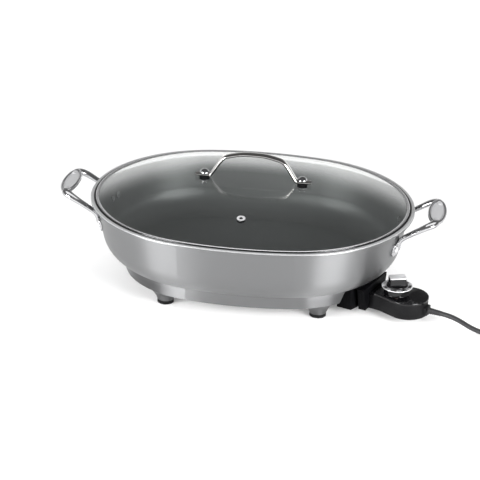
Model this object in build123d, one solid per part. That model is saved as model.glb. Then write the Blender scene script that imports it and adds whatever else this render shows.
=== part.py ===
from build123d import *
import os
from math import atan2, cos, degrees, hypot, pi, radians, sin, sqrt, tan

# An oval electric skillet: a cast pan on four legs, a lift-off glass lid, two side handles and a
# plug-in temperature control with its cord.  Millimetres and degrees, +Z up, resting on Z = 0.
# An "inset" is a distance measured inwards from the lip's outer edge, the same all round the oval.

# ---------------------------------------------------------------- pan
half_length = 200.0          # lip, along X
half_width = 160.0           # lip, along Y
side_radius = 400.0          # flatter arcs along the two long sides
lip_underside = 110.6        # height above the table
lip_height = 3.4
lip_top_width = 5.0
lip_rounding = 1.2
lip_overhang = 6.8           # from the outer edge in to the wall
ledge_depth = 2.0            # seat for the lid, below the lip's top
wall = 3.0
wall_taper = 11.3            # lean of the wall from the vertical
corner_radius = 36.9         # outer radius between wall and floor
floor_underside = 38.0
skirt_inset = 44.0
skirt_wall = 2.5
skirt_bottom = 22.6
notch_top_gap = 8.2          # gap in the skirt beside the terminal guard, under the pan
notch_bottom_gap = 16.7      # and at the skirt's lower edge

# ---------------------------------------------------------------- legs and feet
leg_angle = 55.4             # seen from the centre of the pan's end arc
leg_setback = 23.9           # from the skirt's outer face in to the leg's axis
foot_radius = 10.2
foot_height = 4.8
foot_chamfer = 0.8
leg_flare_radius = 23.5
leg_flare_hollow = 1.8       # how far the flare bows inwards from a straight cone
leg_edge = 2.4
leg_post_radius = 8.0
leg_gusset = 6.0
foot_screw_radius = 2.0
foot_screw_head_radius = 3.5
foot_screw_head = 2.0
foot_screw_recess = 2.4
foot_screw_reach = 11.0

# ---------------------------------------------------------------- side handles
handle_angle = 16.0          # of each foot, seen from the centre of the pan's end arc
pad_drop = 26.1              # from the lip's underside to the middle of the foot's pad
pad_width = 27.0
pad_tall = 17.0
pad_thickness = 2.6
pad_corner = 5.0
rivet_spacing = 14.4
rivet_radius = 2.5
rivet_head_radius = 3.8
rivet_head = 2.2
rivet_head_edge = 0.5
rivet_inner_head = 1.0
arm_width = 8.4
arm_thickness = 4.6
grip_out = 28.0              # middle of the grip, beyond the lip
grip_rise = 6.6              # of the grip's top above the lip
grip_half_length = 36.0
grip_half_width = 11.5
grip_thickness = 4.2
grip_tilt = 10.0
grip_rounding = 1.4
arm_foot_rise = 5.5          # from the pad's middle to the arm's lower end
arm_elbow_out = 3.2          # from the arm's lower end to the first bend
arm_elbow_rise = 19.0        # from the pad's middle to the first bend
arm_shoulder_in = 19.5       # from the middle of the grip back to the second bend
arm_tuck = 1.5               # of the arms' ends towards each other, under the grip
arm_shoulder_drop = 6.1      # from the grip's top to the second bend
arm_elbow_radius = 7.0
arm_shoulder_radius = 22.0
arm_corner_radius = 8.0

# ---------------------------------------------------------------- lid
lid_side_gap = 0.8           # between the pan's lip and the lid's band
band_width = 4.0
band_wall = 0.6
band_fold = 0.54             # rounding of the band's outer corners
glass_edge_thickness = 2.4
glass_edge_step = 1.0        # from the band's inner edge to where the glass starts to rise underneath
glass_thickness = 3.0
dome_radius = 314.0
level_end_radius = 23.4      # round ends of the level oval in the middle of the glass
lid_handle_half_span = 60.6  # screw positions
strap_width = 10.5
strap_thickness = 2.6
strap_rounding = 1.0
strap_tab = 11.4             # from the screw out to the end of the tab
strap_tab_inner = 7.6        # from the screw in to the first bend
strap_leg_run = 15.6         # from the first bend in to the shoulder
strap_shoulder_rise = 25.0
strap_crown_half = 15.0
strap_crown_rise = 31.2
strap_foot_radius = 3.5
strap_shoulder_radius = 24.0
strap_crown_radius = 60.0
washer_radius = 6.3
washer_thickness = 1.8
lid_screw_radius = 2.0
lid_screw_head_radius = 4.5
lid_screw_head = 2.2
glass_hole_radius = 3.2
cap_nut_radius = 5.8
cap_nut_height = 5.8
cap_nut_edge = 1.6
cap_nut_roof = 2.0
vent_inset = 59.0
vent_flange_radius = 5.2
vent_flange = 0.9
vent_tube_radius = 3.3
vent_bore_radius = 2.2

# ---------------------------------------------------------------- heating element and its guard
probe_angle = 20.0           # control's axis, turned from +X towards -Y about the end arc's centre
element_radius = 3.1
element_seat_gap = 0.3
element_end_inset = 60.0     # from the skirt's outer face, at the ends
element_side_inset = 48.0    # and along the sides
element_corner_shift = 20.0  # shortens the near side, to pass the leg by the guard
element_loop_radius = 42.0
element_entry_radius = 11.0
element_drop_radius = 6.6
element_bend_back = 5.0      # behind the guard: where the ends turn up,
element_drop_back = 15.0     # reach the floor's level,
element_entry_back = 31.0    # and leave for the loop
element_well_gap = 0.5       # between the ends and the sensor's boss
sheath_reach = 4.5           # of the sheath's ends into the guard
terminal_drop = 5.3          # from the sensing stem's axis down to the terminals
pin_radius = 2.5
pin_reach = 21.0             # from the end of the element's sheath
bead_radius = 4.4
bead_length = 5.0
guard_half_width = 34.0
guard_depth = 29.0           # from the pan's floor down
guard_length = 24.0
guard_proud = 1.0            # beyond the skirt
guard_wall = 2.5
guard_floor = 3.0
guard_cheek = 9.5            # side walls, thick enough for the screws
guard_screw_back = 13.0      # behind the guard's outer face
guard_boss_radius = 3.2
guard_boss_drop = 8.0
guard_screw_radius = 1.5
guard_screw_head_radius = 2.9
guard_screw_head = 2.2
guard_screw_reach = 11.0
well_radius = 4.3
well_wall = 2.6
well_guard_gap = 1.5

# ---------------------------------------------------------------- temperature control
flange_gap = 1.5
flange_thickness = 9.0
flange_bottom_half = 26.0
flange_top_half = 32.5
flange_above = 13.0          # from the stem's axis to the flange's top
nose_length = 12.0
nose_side_gap = 4.5          # inside the guard's mouth
nose_bottom_gap = 1.5
nose_top_gap = 3.5
sleeve_outer_radius = 3.8
sleeve_bore_radius = 2.8
sleeve_recess = 0.5          # in the nose's face
sleeve_tail = 3.5            # behind the flange
sleeve_end_wall = 2.0
stem_radius = 4.0
stem_drop = 13.0             # from the pan's floor down to the stem's axis
stem_tip_rounding = 1.3
stem_reach = 40.0            # beyond the nose
stem_tip_gap = 3.0
rod_radius = 1.4
rod_reach = 8.0
body_below = 16.0            # from the stem's axis down to the body's underside
base_height = 18.4
cover_height = 3.0
body_wall = 2.0
body_floor = 2.2
cover_roof = 2.2
cover_lip = 0.6
cover_rounding = 1.2
neck_half_width = 16.5
neck_blend = 30.0
flare_angle = 18.0
round_radius = 25.2
dial_distance = 29.1         # from the flange to the dial's axis
round_distance = 44.0        # from the flange to the centre of the round end
collar_radius = 15.5
collar_height = 7.6
collar_wall = 2.0
post_radius = 3.5
post_height = 11.0           # of the base's posts, where the cover's posts meet them
post_recess = 4.0
post_wall_gap = 0.6
post_sleeve_gap = 2.0
round_post_reach = 16.3      # from the centre of the round end, on the diagonals
screw_end_gap = 1.0          # left at the bottom of a screw's hole
body_screw_radius = 1.4
body_screw_head_radius = 2.8
body_screw_head = 2.0
body_screw_reach = 13.5
frame_length = 32.0
frame_width = 11.0
frame_thickness = 1.2
frame_start = 12.0           # from the flange
frame_stand = 1.0
frame_stand_radius = 3.6
frame_stand_inset = 4.0      # from the frame's ends
insulator_length = 8.0
insulator_heights = (2.4, 3.0, 2.2)
blade_thickness = 0.5
blade_length = 26.0
blade_width = 6.0
contact_radius = 1.5
contact_height = 1.2
contact_inset = 3.0          # from the blade's free end
lens_angle = 66.0            # about the dial, from the cord's side towards the front
lens_collar_gap = 0.6
lens_radius = 1.8
lens_proud = 0.6
lamp_radius = 1.6
lamp_length = 10.0

# ---------------------------------------------------------------- dial
shaft_radius = 3.0
shaft_clearance = 0.08
dial_gap = 0.4
dial_ring_radius = 18.8
dial_ring_thickness = 1.6
knob_base_radius = 13.2
knob_base_height = 1.8
grip_block_length = 20.5
grip_block_width = 13.5
grip_block_height = 8.6
grip_block_turn = 17.0       # of the knob's ridge, from +X towards +Y
knob_cap_height = 1.3
knob_rounding = 1.0
ridge_corner = 2.0
ring_rounding = 0.5
cap_rounding = 0.65
knob_socket_depth = 7.0

# ---------------------------------------------------------------- cord and plug
cord_radius = 3.0
cord_rise = 8.0              # of the cord's outlet above the body's underside
relief_radius = 4.0
relief_tip_radius = 3.4
relief_reach = 19.8          # beyond the round end
relief_inside = 6.0
relief_collar = 1.0
exit_boss_half_width = 7.0
exit_boss_height = 12.0
exit_boss_reach = 2.6
exit_boss_rounding = 3.5
cord_lead = 16.0             # straight cord out of the strain relief
cord_route = [(282.0, -87.0, 7.6), (308.0, -97.0, 4.4), (334.0, -97.0, 4.4)]
run_share = 0.45             # of the shorter run, taken up by each bend
coil_inner_turn = 30.0
coil_layers = 2
coil_slack = 0.2
coil_rounding = 2.8
tie_width = 8.0
tie_thickness = 0.8
tie_angle = -52.0
plug_lead = 24.0             # straight cord between coil and plug
plug_length = 30.0
plug_width = 24.0
plug_height = 20.0
plug_rounding = 3.5
plug_boot_length = 12.0
plug_boot_radius = 4.6
plug_boot_root_radius = 6.4
blade_pitch = 12.7
plug_blade_length = 17.5
plug_blade_width = 6.3
plug_blade_thickness = 1.5

fit = 0.05                   # radial clearance of pieces pushed or screwed together
loose = 0.3                  # clearance of pieces that slide or lift apart

# ---------------------------------------------------------------- derived: the oval
side_centre = side_radius - half_width
end_radius = (side_radius**2 - half_length**2 - side_centre**2) / (2 * (side_radius - half_length))
end_centre = half_length - end_radius
meet_angle = degrees(atan2(side_centre, end_centre))
OVAL_ARCS = [  # centre x, centre y, radius at the lip's edge, start angle, sweep
    (end_centre, 0, end_radius, -meet_angle, 2 * meet_angle),
    (0, -side_centre, side_radius, meet_angle, 180 - 2 * meet_angle),
    (-end_centre, 0, end_radius, 180 - meet_angle, 2 * meet_angle),
    (0, side_centre, side_radius, 180 + meet_angle, 180 - 2 * meet_angle),
]
END = Location((end_centre, 0, 0))
CONTROL = END * Location((0, 0, 0), (0, 0, -probe_angle))   # X out along the control's axis

# derived: heights and insets
lip_top = lip_underside + lip_height
pad_height = lip_underside - pad_drop
grip_height = lip_top + grip_rise
ledge = lip_top - ledge_depth
floor_top = floor_underside + wall
lean = radians(wall_taper)
corner_height = floor_underside + corner_radius
band_inset = lip_top_width + lid_side_gap
glass_inset = band_inset + band_wall
glass_edge_top = ledge + band_wall + glass_edge_thickness
dome_top_inset = end_radius - level_end_radius
skirt_radius = end_radius - skirt_inset
stem_height = floor_underside - stem_drop
terminal_height = stem_height - terminal_drop
terminal_half_spacing = well_radius + well_wall + element_well_gap + element_radius
guard_bottom = floor_underside - guard_depth
mouth_half_width = guard_half_width - guard_cheek
body_bottom = stem_height - body_below
body_seam = body_bottom + base_height
body_top = body_seam + cover_height
post_seam = body_bottom + post_height
cord_height = body_bottom + cord_rise
frame_level = body_bottom + body_floor + frame_stand

# derived: places along the control's axis, from the centre of the end arc
guard_face = skirt_radius + guard_proud
guard_back = guard_face - guard_length
flange_in = guard_face + flange_gap
flange_out = flange_in + flange_thickness
nose_front = flange_in - nose_length
dial_s = flange_out + dial_distance
round_s = flange_out + round_distance
relief_end = round_s + round_radius + relief_reach
sheath_end = guard_back + guard_wall + sheath_reach
bead_end = sheath_end + bead_length
collar_top = body_top + collar_height
dial_z = collar_top + dial_gap


def wall_inset(height):
    """Inset of the pan's outer wall at a height."""
    return lip_overhang + tan(lean) * (lip_underside - height)


def corner_inset():
    """Inset of the centre of the corner between wall and floor."""
    tangent_height = corner_height - corner_radius * sin(lean)
    return wall_inset(tangent_height) + corner_radius * cos(lean)


def on_corner(radius, angle):
    """Point (inset, height) on an arc of the corner, angle measured up from straight outwards."""
    return corner_inset() - radius * cos(radians(angle)), corner_height + radius * sin(radians(angle))


def corner_underside(inset):
    """Height of the pan's outer surface where it curves in under the wall."""
    return corner_height - sqrt(corner_radius**2 - (corner_inset() - inset)**2)


def section(points):
    """Points (inset, height) turned to the x, y of a section drawn beside the oval."""
    return [(-inset, height) for inset, height in points]


def band(face):
    """Carry a section round the whole oval, as four arcs that meet on tangents."""
    pieces = []
    for x, y, radius, start, sweep_angle in OVAL_ARCS:
        a = radians(start)
        plane = Plane(origin=(x, y, 0), x_dir=(cos(a), sin(a), 0), z_dir=(sin(a), -cos(a), 0))
        pieces.append(revolve(plane * (Pos(radius, 0, 0) * face), Axis((x, y, 0), (0, 0, 1)), sweep_angle))
    return pieces[0] + pieces[1] + pieces[2] + pieces[3]


def oval_plate(inset, bottom, top):
    """Flat plate of the oval's shape, its edge moved in by inset."""
    arcs = [CenterArc((x, y, 0), radius - inset, start, turn) for x, y, radius, start, turn in OVAL_ARCS]
    return Pos(0, 0, bottom) * extrude(make_face(arcs), amount=top - bottom)


def upright(radius, bottom, top, x=0.0, y=0.0):
    """Vertical cylinder between two heights."""
    return Pos(x, y, bottom) * Cylinder(radius, top - bottom, align=(Align.CENTER, Align.CENTER, Align.MIN))


def along(radius, start, end, t=0.0, z=0.0):
    """Cylinder along the control's axis, between two places on it."""
    rod = Cylinder(radius, end - start, align=(Align.CENTER, Align.CENTER, Align.MIN))
    return Pos(start, t, z) * Rot(0, 90, 0) * rod


def domed(radius, edge, height):
    """Round head with a short straight edge and a spherical top, standing on Z = 0."""
    rise = height - edge
    ball = (radius**2 + rise**2) / (2 * rise)
    return upright(radius, 0, height) & Pos(0, 0, height - ball) * Sphere(ball)


def block(x0, x1, half_y, z0, z1):
    """Box centred on the X axis."""
    return Pos((x0 + x1) / 2, 0, (z0 + z1) / 2) * Box(x1 - x0, 2 * half_y, z1 - z0)


def mirrored(shape):
    """Copy on the other side of the pan's length."""
    return mirror(shape, about=Plane.YZ)


# ---------------------------------------------------------------- pan
def bowl_section():
    """Lip, lid ledge, leaning wall, rounded corner and the outer ring of the floor."""
    inner_radius = corner_radius - wall
    floor_join = corner_inset() + wall
    inner_wall = wall / cos(lean)
    outer_tangent = on_corner(corner_radius, -wall_taper)
    inner_tangent = on_corner(inner_radius, -wall_taper)
    middle = -(90 + wall_taper) / 2
    start = (lip_overhang, lip_underside)
    upper = Polyline(section([start, (0, lip_underside), (0, lip_top), (lip_top_width, lip_top),
                              (lip_top_width, ledge), (wall_inset(ledge) + inner_wall, ledge),
                              inner_tangent]))
    inner_arc = ThreePointArc(*section([inner_tangent, on_corner(inner_radius, middle),
                                        on_corner(inner_radius, -90)]))
    lower = Polyline(section([on_corner(inner_radius, -90), (floor_join, floor_top),
                              (floor_join, floor_underside), on_corner(corner_radius, -90)]))
    outer_arc = ThreePointArc(*section([on_corner(corner_radius, -90), on_corner(corner_radius, middle),
                                        outer_tangent]))
    face = make_face([upper, inner_arc, lower, outer_arc, Line(*section([outer_tangent, start]))])
    return fillet(face.vertices().group_by(Axis.X)[-1], lip_rounding)


def skirt():
    """Wall under the pan, open where the terminal guard comes through."""
    top = corner_underside(skirt_inset) + wall / 2
    bottom_edge = skirt_inset + skirt_wall
    ring = band(make_face(Polyline(section([(skirt_inset, skirt_bottom), (skirt_inset, top),
                                            (bottom_edge, top), (bottom_edge, skirt_bottom)]), close=True)))
    below = skirt_bottom - 1
    low_half, high_half = guard_half_width + notch_bottom_gap, guard_half_width + notch_top_gap
    notch = Polyline([(-low_half, below), (-high_half, floor_underside), (high_half, floor_underside),
                      (low_half, below)], close=True)
    cut = extrude(Plane.YZ * make_face(notch), amount=2 * skirt_inset)
    return ring - CONTROL * Pos(skirt_radius - skirt_inset, 0, 0) * cut


def leg(x, y):
    """Flared leg under the skirt, with a post up to the floor."""
    foot = (foot_radius, foot_height)
    rim = (leg_flare_radius, skirt_bottom)
    run, rise = rim[0] - foot[0], rim[1] - foot[1]
    chord = hypot(run, rise)
    bow = ((foot[0] + rim[0]) / 2 - leg_flare_hollow * rise / chord,
           (foot[1] + rim[1]) / 2 + leg_flare_hollow * run / chord)
    edge = skirt_bottom + leg_edge
    inside = floor_underside + wall / 3
    outline = [ThreePointArc(foot, bow, rim),
               Polyline([rim, (leg_flare_radius, edge), (leg_post_radius, edge + leg_gusset),
                         (leg_post_radius, inside), (0, inside), (0, foot_height), foot])]
    shape = Pos(x, y, 0) * revolve(Plane.XZ * make_face(outline), Axis.Z)
    hole_end = foot_screw_recess + foot_screw_reach + screw_end_gap
    screw_hole = upright(foot_screw_radius + fit, 0, hole_end, x, y)
    return (shape & oval_plate(skirt_inset, 0, floor_top)) - screw_hole


def legs():
    """Centre of each leg: left before right, front before back."""
    reach = skirt_radius - leg_setback
    x, y = end_centre + reach * cos(radians(leg_angle)), reach * sin(radians(leg_angle))
    return [(side * x, depth * y) for side in (-1, 1) for depth in (-1, 1)]


def wall_plane(angle, height):
    """Plane on the pan's outer wall at its right end, Z straight out of the wall."""
    a = radians(angle)
    radius = end_radius - wall_inset(height)
    return Plane(origin=(end_centre + radius * cos(a), radius * sin(a), height), x_dir=(-sin(a), cos(a), 0),
                 z_dir=(cos(a) * cos(lean), sin(a) * cos(lean), -sin(lean)))


def rivet_planes():
    """One plane for each rivet of the right handle."""
    radius = end_radius - wall_inset(pad_height)
    step = degrees(rivet_spacing / 2 / radius)
    angles = [side * handle_angle + turn for side in (-1, 1) for turn in (-step, step)]
    return [wall_plane(angle, pad_height) for angle in angles]


def rivet_holes():
    holes = [plane * Cylinder(rivet_radius + fit, 4 * (wall + pad_thickness)) for plane in rivet_planes()]
    return holes + [mirrored(hole) for hole in holes]


def sensor_boss():
    """Boss under the floor that takes the control's sensing stem."""
    start, end = nose_front - stem_reach - stem_tip_gap, guard_back - well_guard_gap
    half = well_radius + well_wall
    body = block(start - well_wall, end, half, stem_height, floor_underside + wall / 3)
    body += along(half, start - well_wall, end, 0, stem_height)
    return CONTROL * (body - along(well_radius, start, end + well_wall, 0, stem_height))


def guard_screw_places():
    """Places (along, across) of the guard's screws, in the middle of its cheeks."""
    s, t = guard_face - guard_screw_back, guard_half_width - guard_cheek / 2
    return [(s, -t), (s, t)]


def guard_bosses():
    """Bosses under the floor that the guard is screwed to."""
    shape = Part()
    for s, t in guard_screw_places():
        low = floor_underside - guard_boss_drop
        boss = upright(guard_boss_radius, low, floor_underside + wall / 3, s, t)
        hole_end = guard_screw_seat() + guard_screw_reach + screw_end_gap
        shape += boss - upright(guard_screw_radius + fit, low, hole_end, s, t)
    return CONTROL * shape


def guard_screw_seat():
    return floor_underside - guard_boss_drop - 2 * guard_wall


def pan():
    body = band(bowl_section()) + oval_plate(corner_inset() + wall, floor_underside, floor_top)
    body += skirt()
    for x, y in legs():
        body += leg(x, y)
    body += sensor_boss()
    body += guard_bosses()
    for hole in rivet_holes():
        body -= hole
    return body


# ---------------------------------------------------------------- feet
def foot(x, y):
    """Rubber foot, screwed up into its leg from a recess."""
    shape = upright(foot_radius, 0, foot_height, x, y)
    shape = chamfer(shape.edges().group_by(Axis.Z)[0], foot_chamfer)
    shape -= upright(foot_screw_head_radius + loose, 0, foot_screw_recess, x, y)
    return shape - upright(foot_screw_radius + fit, 0, foot_height, x, y)


def foot_screws():
    screws = []
    seat = foot_screw_recess
    for x, y in legs():
        head = upright(foot_screw_head_radius, seat - foot_screw_head, seat, x, y)
        screws.append(head + upright(foot_screw_radius, seat, seat + foot_screw_reach, x, y))
    return Compound(screws)


# ---------------------------------------------------------------- side handles
def handle_pad(side):
    """Foot of the handle, a plate that follows the pan's wall."""
    low, high = pad_height - pad_tall, pad_height + pad_tall
    thick = pad_thickness / cos(lean)
    points = [(end_radius - wall_inset(low), low), (end_radius - wall_inset(low) + thick, low),
              (end_radius - wall_inset(high) + thick, high), (end_radius - wall_inset(high), high)]
    profile = make_face(Polyline(points, close=True))
    half_turn = degrees(pad_width / end_radius)
    sector = revolve(Plane.XZ * profile, Axis.Z, 2 * half_turn)
    shell = END * Rot(0, 0, side * handle_angle - half_turn) * sector
    shape = wall_plane(side * handle_angle, pad_height) * extrude(
        RectangleRounded(pad_width, pad_tall, pad_corner), amount=4 * pad_thickness, both=True)
    return shell & shape


def handle_arm(side):
    """Bar from the pad up and out to the grip."""
    start_height, elbow = pad_height + arm_foot_rise, pad_height + arm_elbow_rise
    shoulder = grip_height - arm_shoulder_drop
    radius = end_radius - wall_inset(start_height) + arm_thickness / 2 + pad_thickness / 4
    a = radians(handle_angle)
    x0, y0 = end_centre + radius * cos(a), radius * sin(a)
    grip_x = half_length + grip_out
    grip_middle = grip_height - grip_thickness / 2
    points = [(x0, side * y0, start_height), (x0 + arm_elbow_out, side * y0, elbow),
              (grip_x - arm_shoulder_in, side * y0, shoulder),
              (grip_x, side * (y0 - arm_tuck), grip_middle),
              (grip_x, side * grip_half_length / 2, grip_middle)]
    path = FilletPolyline(points, radius=[arm_elbow_radius, arm_shoulder_radius, arm_corner_radius])
    start = Plane(origin=path @ 0, x_dir=(0, 1, 0), z_dir=path % 0)
    return sweep(start * Ellipse(arm_width / 2, arm_thickness / 2), path=path)


def handle_grip():
    """Wide oval plate that joins the two arms and leans outwards a little."""
    tilt = radians(grip_tilt)
    plane = Plane(origin=(half_length + grip_out, 0, grip_height), x_dir=(cos(tilt), 0, -sin(tilt)),
                  z_dir=(sin(tilt), 0, cos(tilt)))
    plate = extrude(Ellipse(grip_half_width, grip_half_length), amount=-grip_thickness)
    return plane * fillet(plate.edges(), grip_rounding)


def side_handle():
    shape = handle_grip()
    for side in (-1, 1):
        shape += handle_arm(side)
        shape += handle_pad(side)
    for plane in rivet_planes():
        shape -= plane * Cylinder(rivet_radius + fit, 4 * pad_thickness)
    return shape


def rivet():
    """Domed head outside, shank through pad and wall, flat head inside."""
    grip = wall + pad_thickness
    head = Pos(0, 0, pad_thickness + fit) * domed(rivet_head_radius, rivet_head_edge, rivet_head)
    shank = Pos(0, 0, pad_thickness - grip / 2) * Cylinder(rivet_radius, grip + 4 * fit)
    inner_middle = -wall - 2 * fit - rivet_inner_head / 2
    return head + shank + Pos(0, 0, inner_middle) * Cylinder(rivet_head_radius, rivet_inner_head)


def handle_rivets():
    rivets = [plane * rivet() for plane in rivet_planes()]
    return Compound(rivets + [mirrored(one) for one in rivets])


# ---------------------------------------------------------------- lid
def dome_points(offset):
    """Start, middle and end (inset, height) of the dome's arc, offset inside the outer surface."""
    start_inset = band_inset + band_width + (glass_edge_step if offset else 0)
    radius = dome_radius - offset
    top = dome_top()
    centre = top - dome_radius
    result = []
    for inset in (start_inset, (start_inset + dome_top_inset) / 2, dome_top_inset):
        result.append((inset, centre + sqrt(radius**2 - (dome_top_inset - inset)**2)))
    return result


def dome_top():
    """Height of the level middle of the glass."""
    run = dome_top_inset - band_inset - band_width
    return glass_edge_top + dome_radius - sqrt(dome_radius**2 - run**2)


def lid_glass():
    outer, inner = dome_points(0), dome_points(glass_thickness)
    edge_low = glass_edge_top - glass_edge_thickness
    edge = [inner[0], (inner[0][0], edge_low), (glass_inset, edge_low),
            (glass_inset, glass_edge_top), outer[0]]
    outline = [Polyline(section(edge)),
               ThreePointArc(*section(outer)), Line(*section([outer[2], inner[2]])),
               ThreePointArc(*section(inner[::-1]))]
    glass = band(make_face(outline))
    glass += oval_plate(dome_top_inset, dome_top() - glass_thickness, dome_top())
    for x in (-lid_handle_half_span, lid_handle_half_span):
        glass -= upright(glass_hole_radius, dome_top() - 2 * glass_thickness, dome_top() + 1, x)
    return glass - vent_plane() * Cylinder(vent_tube_radius + fit, 4 * glass_thickness)


def vent_plane():
    """Plane on the glass over the vent, Z straight out of it."""
    run = dome_top_inset - vent_inset
    rise = sqrt(dome_radius**2 - run**2)
    origin = (0, vent_inset - half_width, dome_top() - dome_radius + rise)
    return Plane(origin=origin, x_dir=(1, 0, 0), z_dir=(0, -run / dome_radius, rise / dome_radius))


def vent_grommet():
    """Eyelet that lets steam out through the glass."""
    outside = Pos(0, 0, 2 * fit + vent_flange / 2) * Cylinder(vent_flange_radius, vent_flange)
    inside_middle = -glass_thickness - 2 * fit - vent_flange / 2
    inside = Pos(0, 0, inside_middle) * Cylinder(vent_flange_radius, vent_flange)
    tube = Pos(0, 0, -glass_thickness / 2) * Cylinder(vent_tube_radius, glass_thickness + 4 * fit)
    return vent_plane() * (outside + inside + tube - Cylinder(vent_bore_radius, 4 * glass_thickness))


def lid_rim():
    """Steel band folded round the edge of the glass."""
    inner = band_inset + band_width
    low, high = ledge, glass_edge_top + band_wall
    points = [(band_inset, low), (inner, low), (inner, low + band_wall), (glass_inset, low + band_wall),
              (glass_inset, high - band_wall), (inner, high - band_wall), (inner, high), (band_inset, high)]
    face = make_face(Polyline(section(points), close=True))
    outer = face.vertices().group_by(Axis.X)[-1]
    return band(fillet(outer, band_fold))


def lid_handle():
    """Flat strap bent up from two tabs."""
    level = dome_top() + washer_thickness + strap_thickness / 2
    foot_x = lid_handle_half_span - strap_tab_inner
    half = [(lid_handle_half_span + strap_tab, level), (foot_x, level),
            (foot_x - strap_leg_run, level + strap_shoulder_rise),
            (strap_crown_half, level + strap_crown_rise)]
    points = [(-x, 0, z) for x, z in half] + [(x, 0, z) for x, z in half[::-1]]
    bends = [strap_foot_radius, strap_shoulder_radius, strap_crown_radius]
    path = FilletPolyline(points, radius=bends + bends[::-1])
    start = Plane(origin=path @ 0, x_dir=(0, 1, 0), z_dir=path % 0)
    strap = sweep(start * RectangleRounded(strap_width, strap_thickness, strap_rounding), path=path)
    for x in (-lid_handle_half_span, lid_handle_half_span):
        strap -= upright(lid_screw_radius + fit, level - strap_thickness, level + strap_thickness, x)
    return strap


def lower_washer_top():
    """Underside of the glass at the outer edge of the handle's washers, less a hair."""
    beyond = max(0.0, lid_handle_half_span + washer_radius - end_centre - level_end_radius)
    drop = dome_radius - sqrt(dome_radius**2 - beyond**2)
    return dome_top() - glass_thickness - drop - 2 * fit


def lid_washers(bottom):
    """Soft washers on one face of the glass, one for each end of the handle."""
    washers = []
    for x in (-lid_handle_half_span, lid_handle_half_span):
        disc = upright(washer_radius, bottom, bottom + washer_thickness, x)
        washers.append(disc - upright(lid_screw_radius + fit, bottom, bottom + washer_thickness, x))
    return Compound(washers)


def lid_screws():
    head_top = lower_washer_top() - washer_thickness
    nut_base = dome_top() + washer_thickness + strap_thickness
    end = nut_base + cap_nut_height - cap_nut_roof - screw_end_gap
    screws = []
    for x in (-lid_handle_half_span, lid_handle_half_span):
        head = upright(lid_screw_head_radius, head_top - lid_screw_head, head_top, x)
        head = fillet(head.edges().group_by(Axis.Z)[0], lid_screw_head / 2)
        screws.append(head + upright(lid_screw_radius, head_top, end, x))
    return Compound(screws)


def lid_cap_nuts():
    """Domed nuts over the strap's tabs."""
    base = dome_top() + washer_thickness + strap_thickness
    nuts = []
    for x in (-lid_handle_half_span, lid_handle_half_span):
        nut = Pos(x, 0, base) * domed(cap_nut_radius, cap_nut_edge, cap_nut_height)
        nuts.append(nut - upright(lid_screw_radius + fit, base, base + cap_nut_height - cap_nut_roof, x))
    return Compound(nuts)


# ---------------------------------------------------------------- heating element and its guard
def control_point(s, t, z):
    """Point given along and across the control's axis, in the pan's frame."""
    a = radians(probe_angle)
    return end_centre + s * cos(a) + t * sin(a), -s * sin(a) + t * cos(a), z


def element_corners(level):
    """Corners of the loop, from the near side of the guard round to the far side."""
    x = half_length - skirt_inset - element_end_inset
    y = half_width - skirt_inset - element_side_inset
    return [(x - element_corner_shift, -y, level), (-x, -y, level), (-x, y, level), (x, y, level)]


def heating_element():
    """Sheathed loop under the floor, its two ends brought down and out to the terminals."""
    level = floor_underside - element_seat_gap - element_radius
    near, far = [], []
    for side, end in ((-1, near), (1, far)):
        t = side * terminal_half_spacing
        end.append(control_point(sheath_end, t, terminal_height))
        end.append(control_point(guard_back - element_bend_back, t, terminal_height))
        end.append(control_point(guard_back - element_drop_back, t, level))
        end.append(control_point(guard_back - element_entry_back, t, level))
    ends = [element_drop_radius, element_drop_radius, element_entry_radius]
    loop = [element_loop_radius / 2, element_loop_radius, element_loop_radius, element_loop_radius]
    path = FilletPolyline(near + element_corners(level) + far[::-1], radius=ends + loop + ends[::-1])
    return sweep(Plane(origin=path @ 0, z_dir=path % 0) * Circle(element_radius), path=path)


def terminal_pins():
    pins = []
    for side in (-1, 1):
        t = side * terminal_half_spacing
        pin = along(pin_radius, sheath_end, sheath_end + pin_reach, t, terminal_height)
        pins.append(CONTROL * chamfer(pin.edges().group_by(Axis.X)[-1], pin_radius / 4))
    return Compound(pins)


def terminal_beads():
    """Ceramic beads that insulate the pins from the sheath and the guard."""
    beads = []
    for side in (-1, 1):
        t = side * terminal_half_spacing
        bead = along(bead_radius, sheath_end, bead_end, t, terminal_height)
        beads.append(CONTROL * (bead - along(pin_radius + fit, sheath_end, bead_end, t, terminal_height)))
    return Compound(beads)


def terminal_guard():
    """Open-fronted housing round the terminals, its front following the skirt."""
    outer = block(guard_back, guard_face + guard_wall, guard_half_width, guard_bottom, floor_underside)
    outer = outer & upright(guard_face, 0, 2 * floor_underside)
    cavity = block(guard_back + guard_wall, 2 * guard_face, mouth_half_width, guard_bottom + guard_floor,
                   floor_underside - guard_wall)
    shape = outer - cavity
    for side in (-1, 1):
        t = side * terminal_half_spacing
        shape -= along(element_radius + loose, guard_back - 1, guard_face, t, terminal_height)
    shape -= along(well_radius, guard_back - 1, guard_face, 0, stem_height)
    boss_low = floor_underside - guard_boss_drop
    for s, t in guard_screw_places():
        shape -= upright(guard_boss_radius + loose, boss_low, floor_underside, s, t)
        shape -= upright(guard_screw_radius + fit, guard_bottom, floor_underside, s, t)
        shape -= upright(guard_screw_head_radius + loose, guard_bottom, guard_screw_seat(), s, t)
    shape = CONTROL * shape
    for x, y in legs():
        shape -= upright(leg_flare_radius + loose, 0, floor_underside, x, y)
    return shape


def guard_screws():
    screws = []
    seat = guard_screw_seat()
    for s, t in guard_screw_places():
        head = upright(guard_screw_head_radius, seat - guard_screw_head, seat, s, t)
        screws.append(CONTROL * (head + upright(guard_screw_radius, seat, seat + guard_screw_reach, s, t)))
    return Compound(screws)


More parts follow.
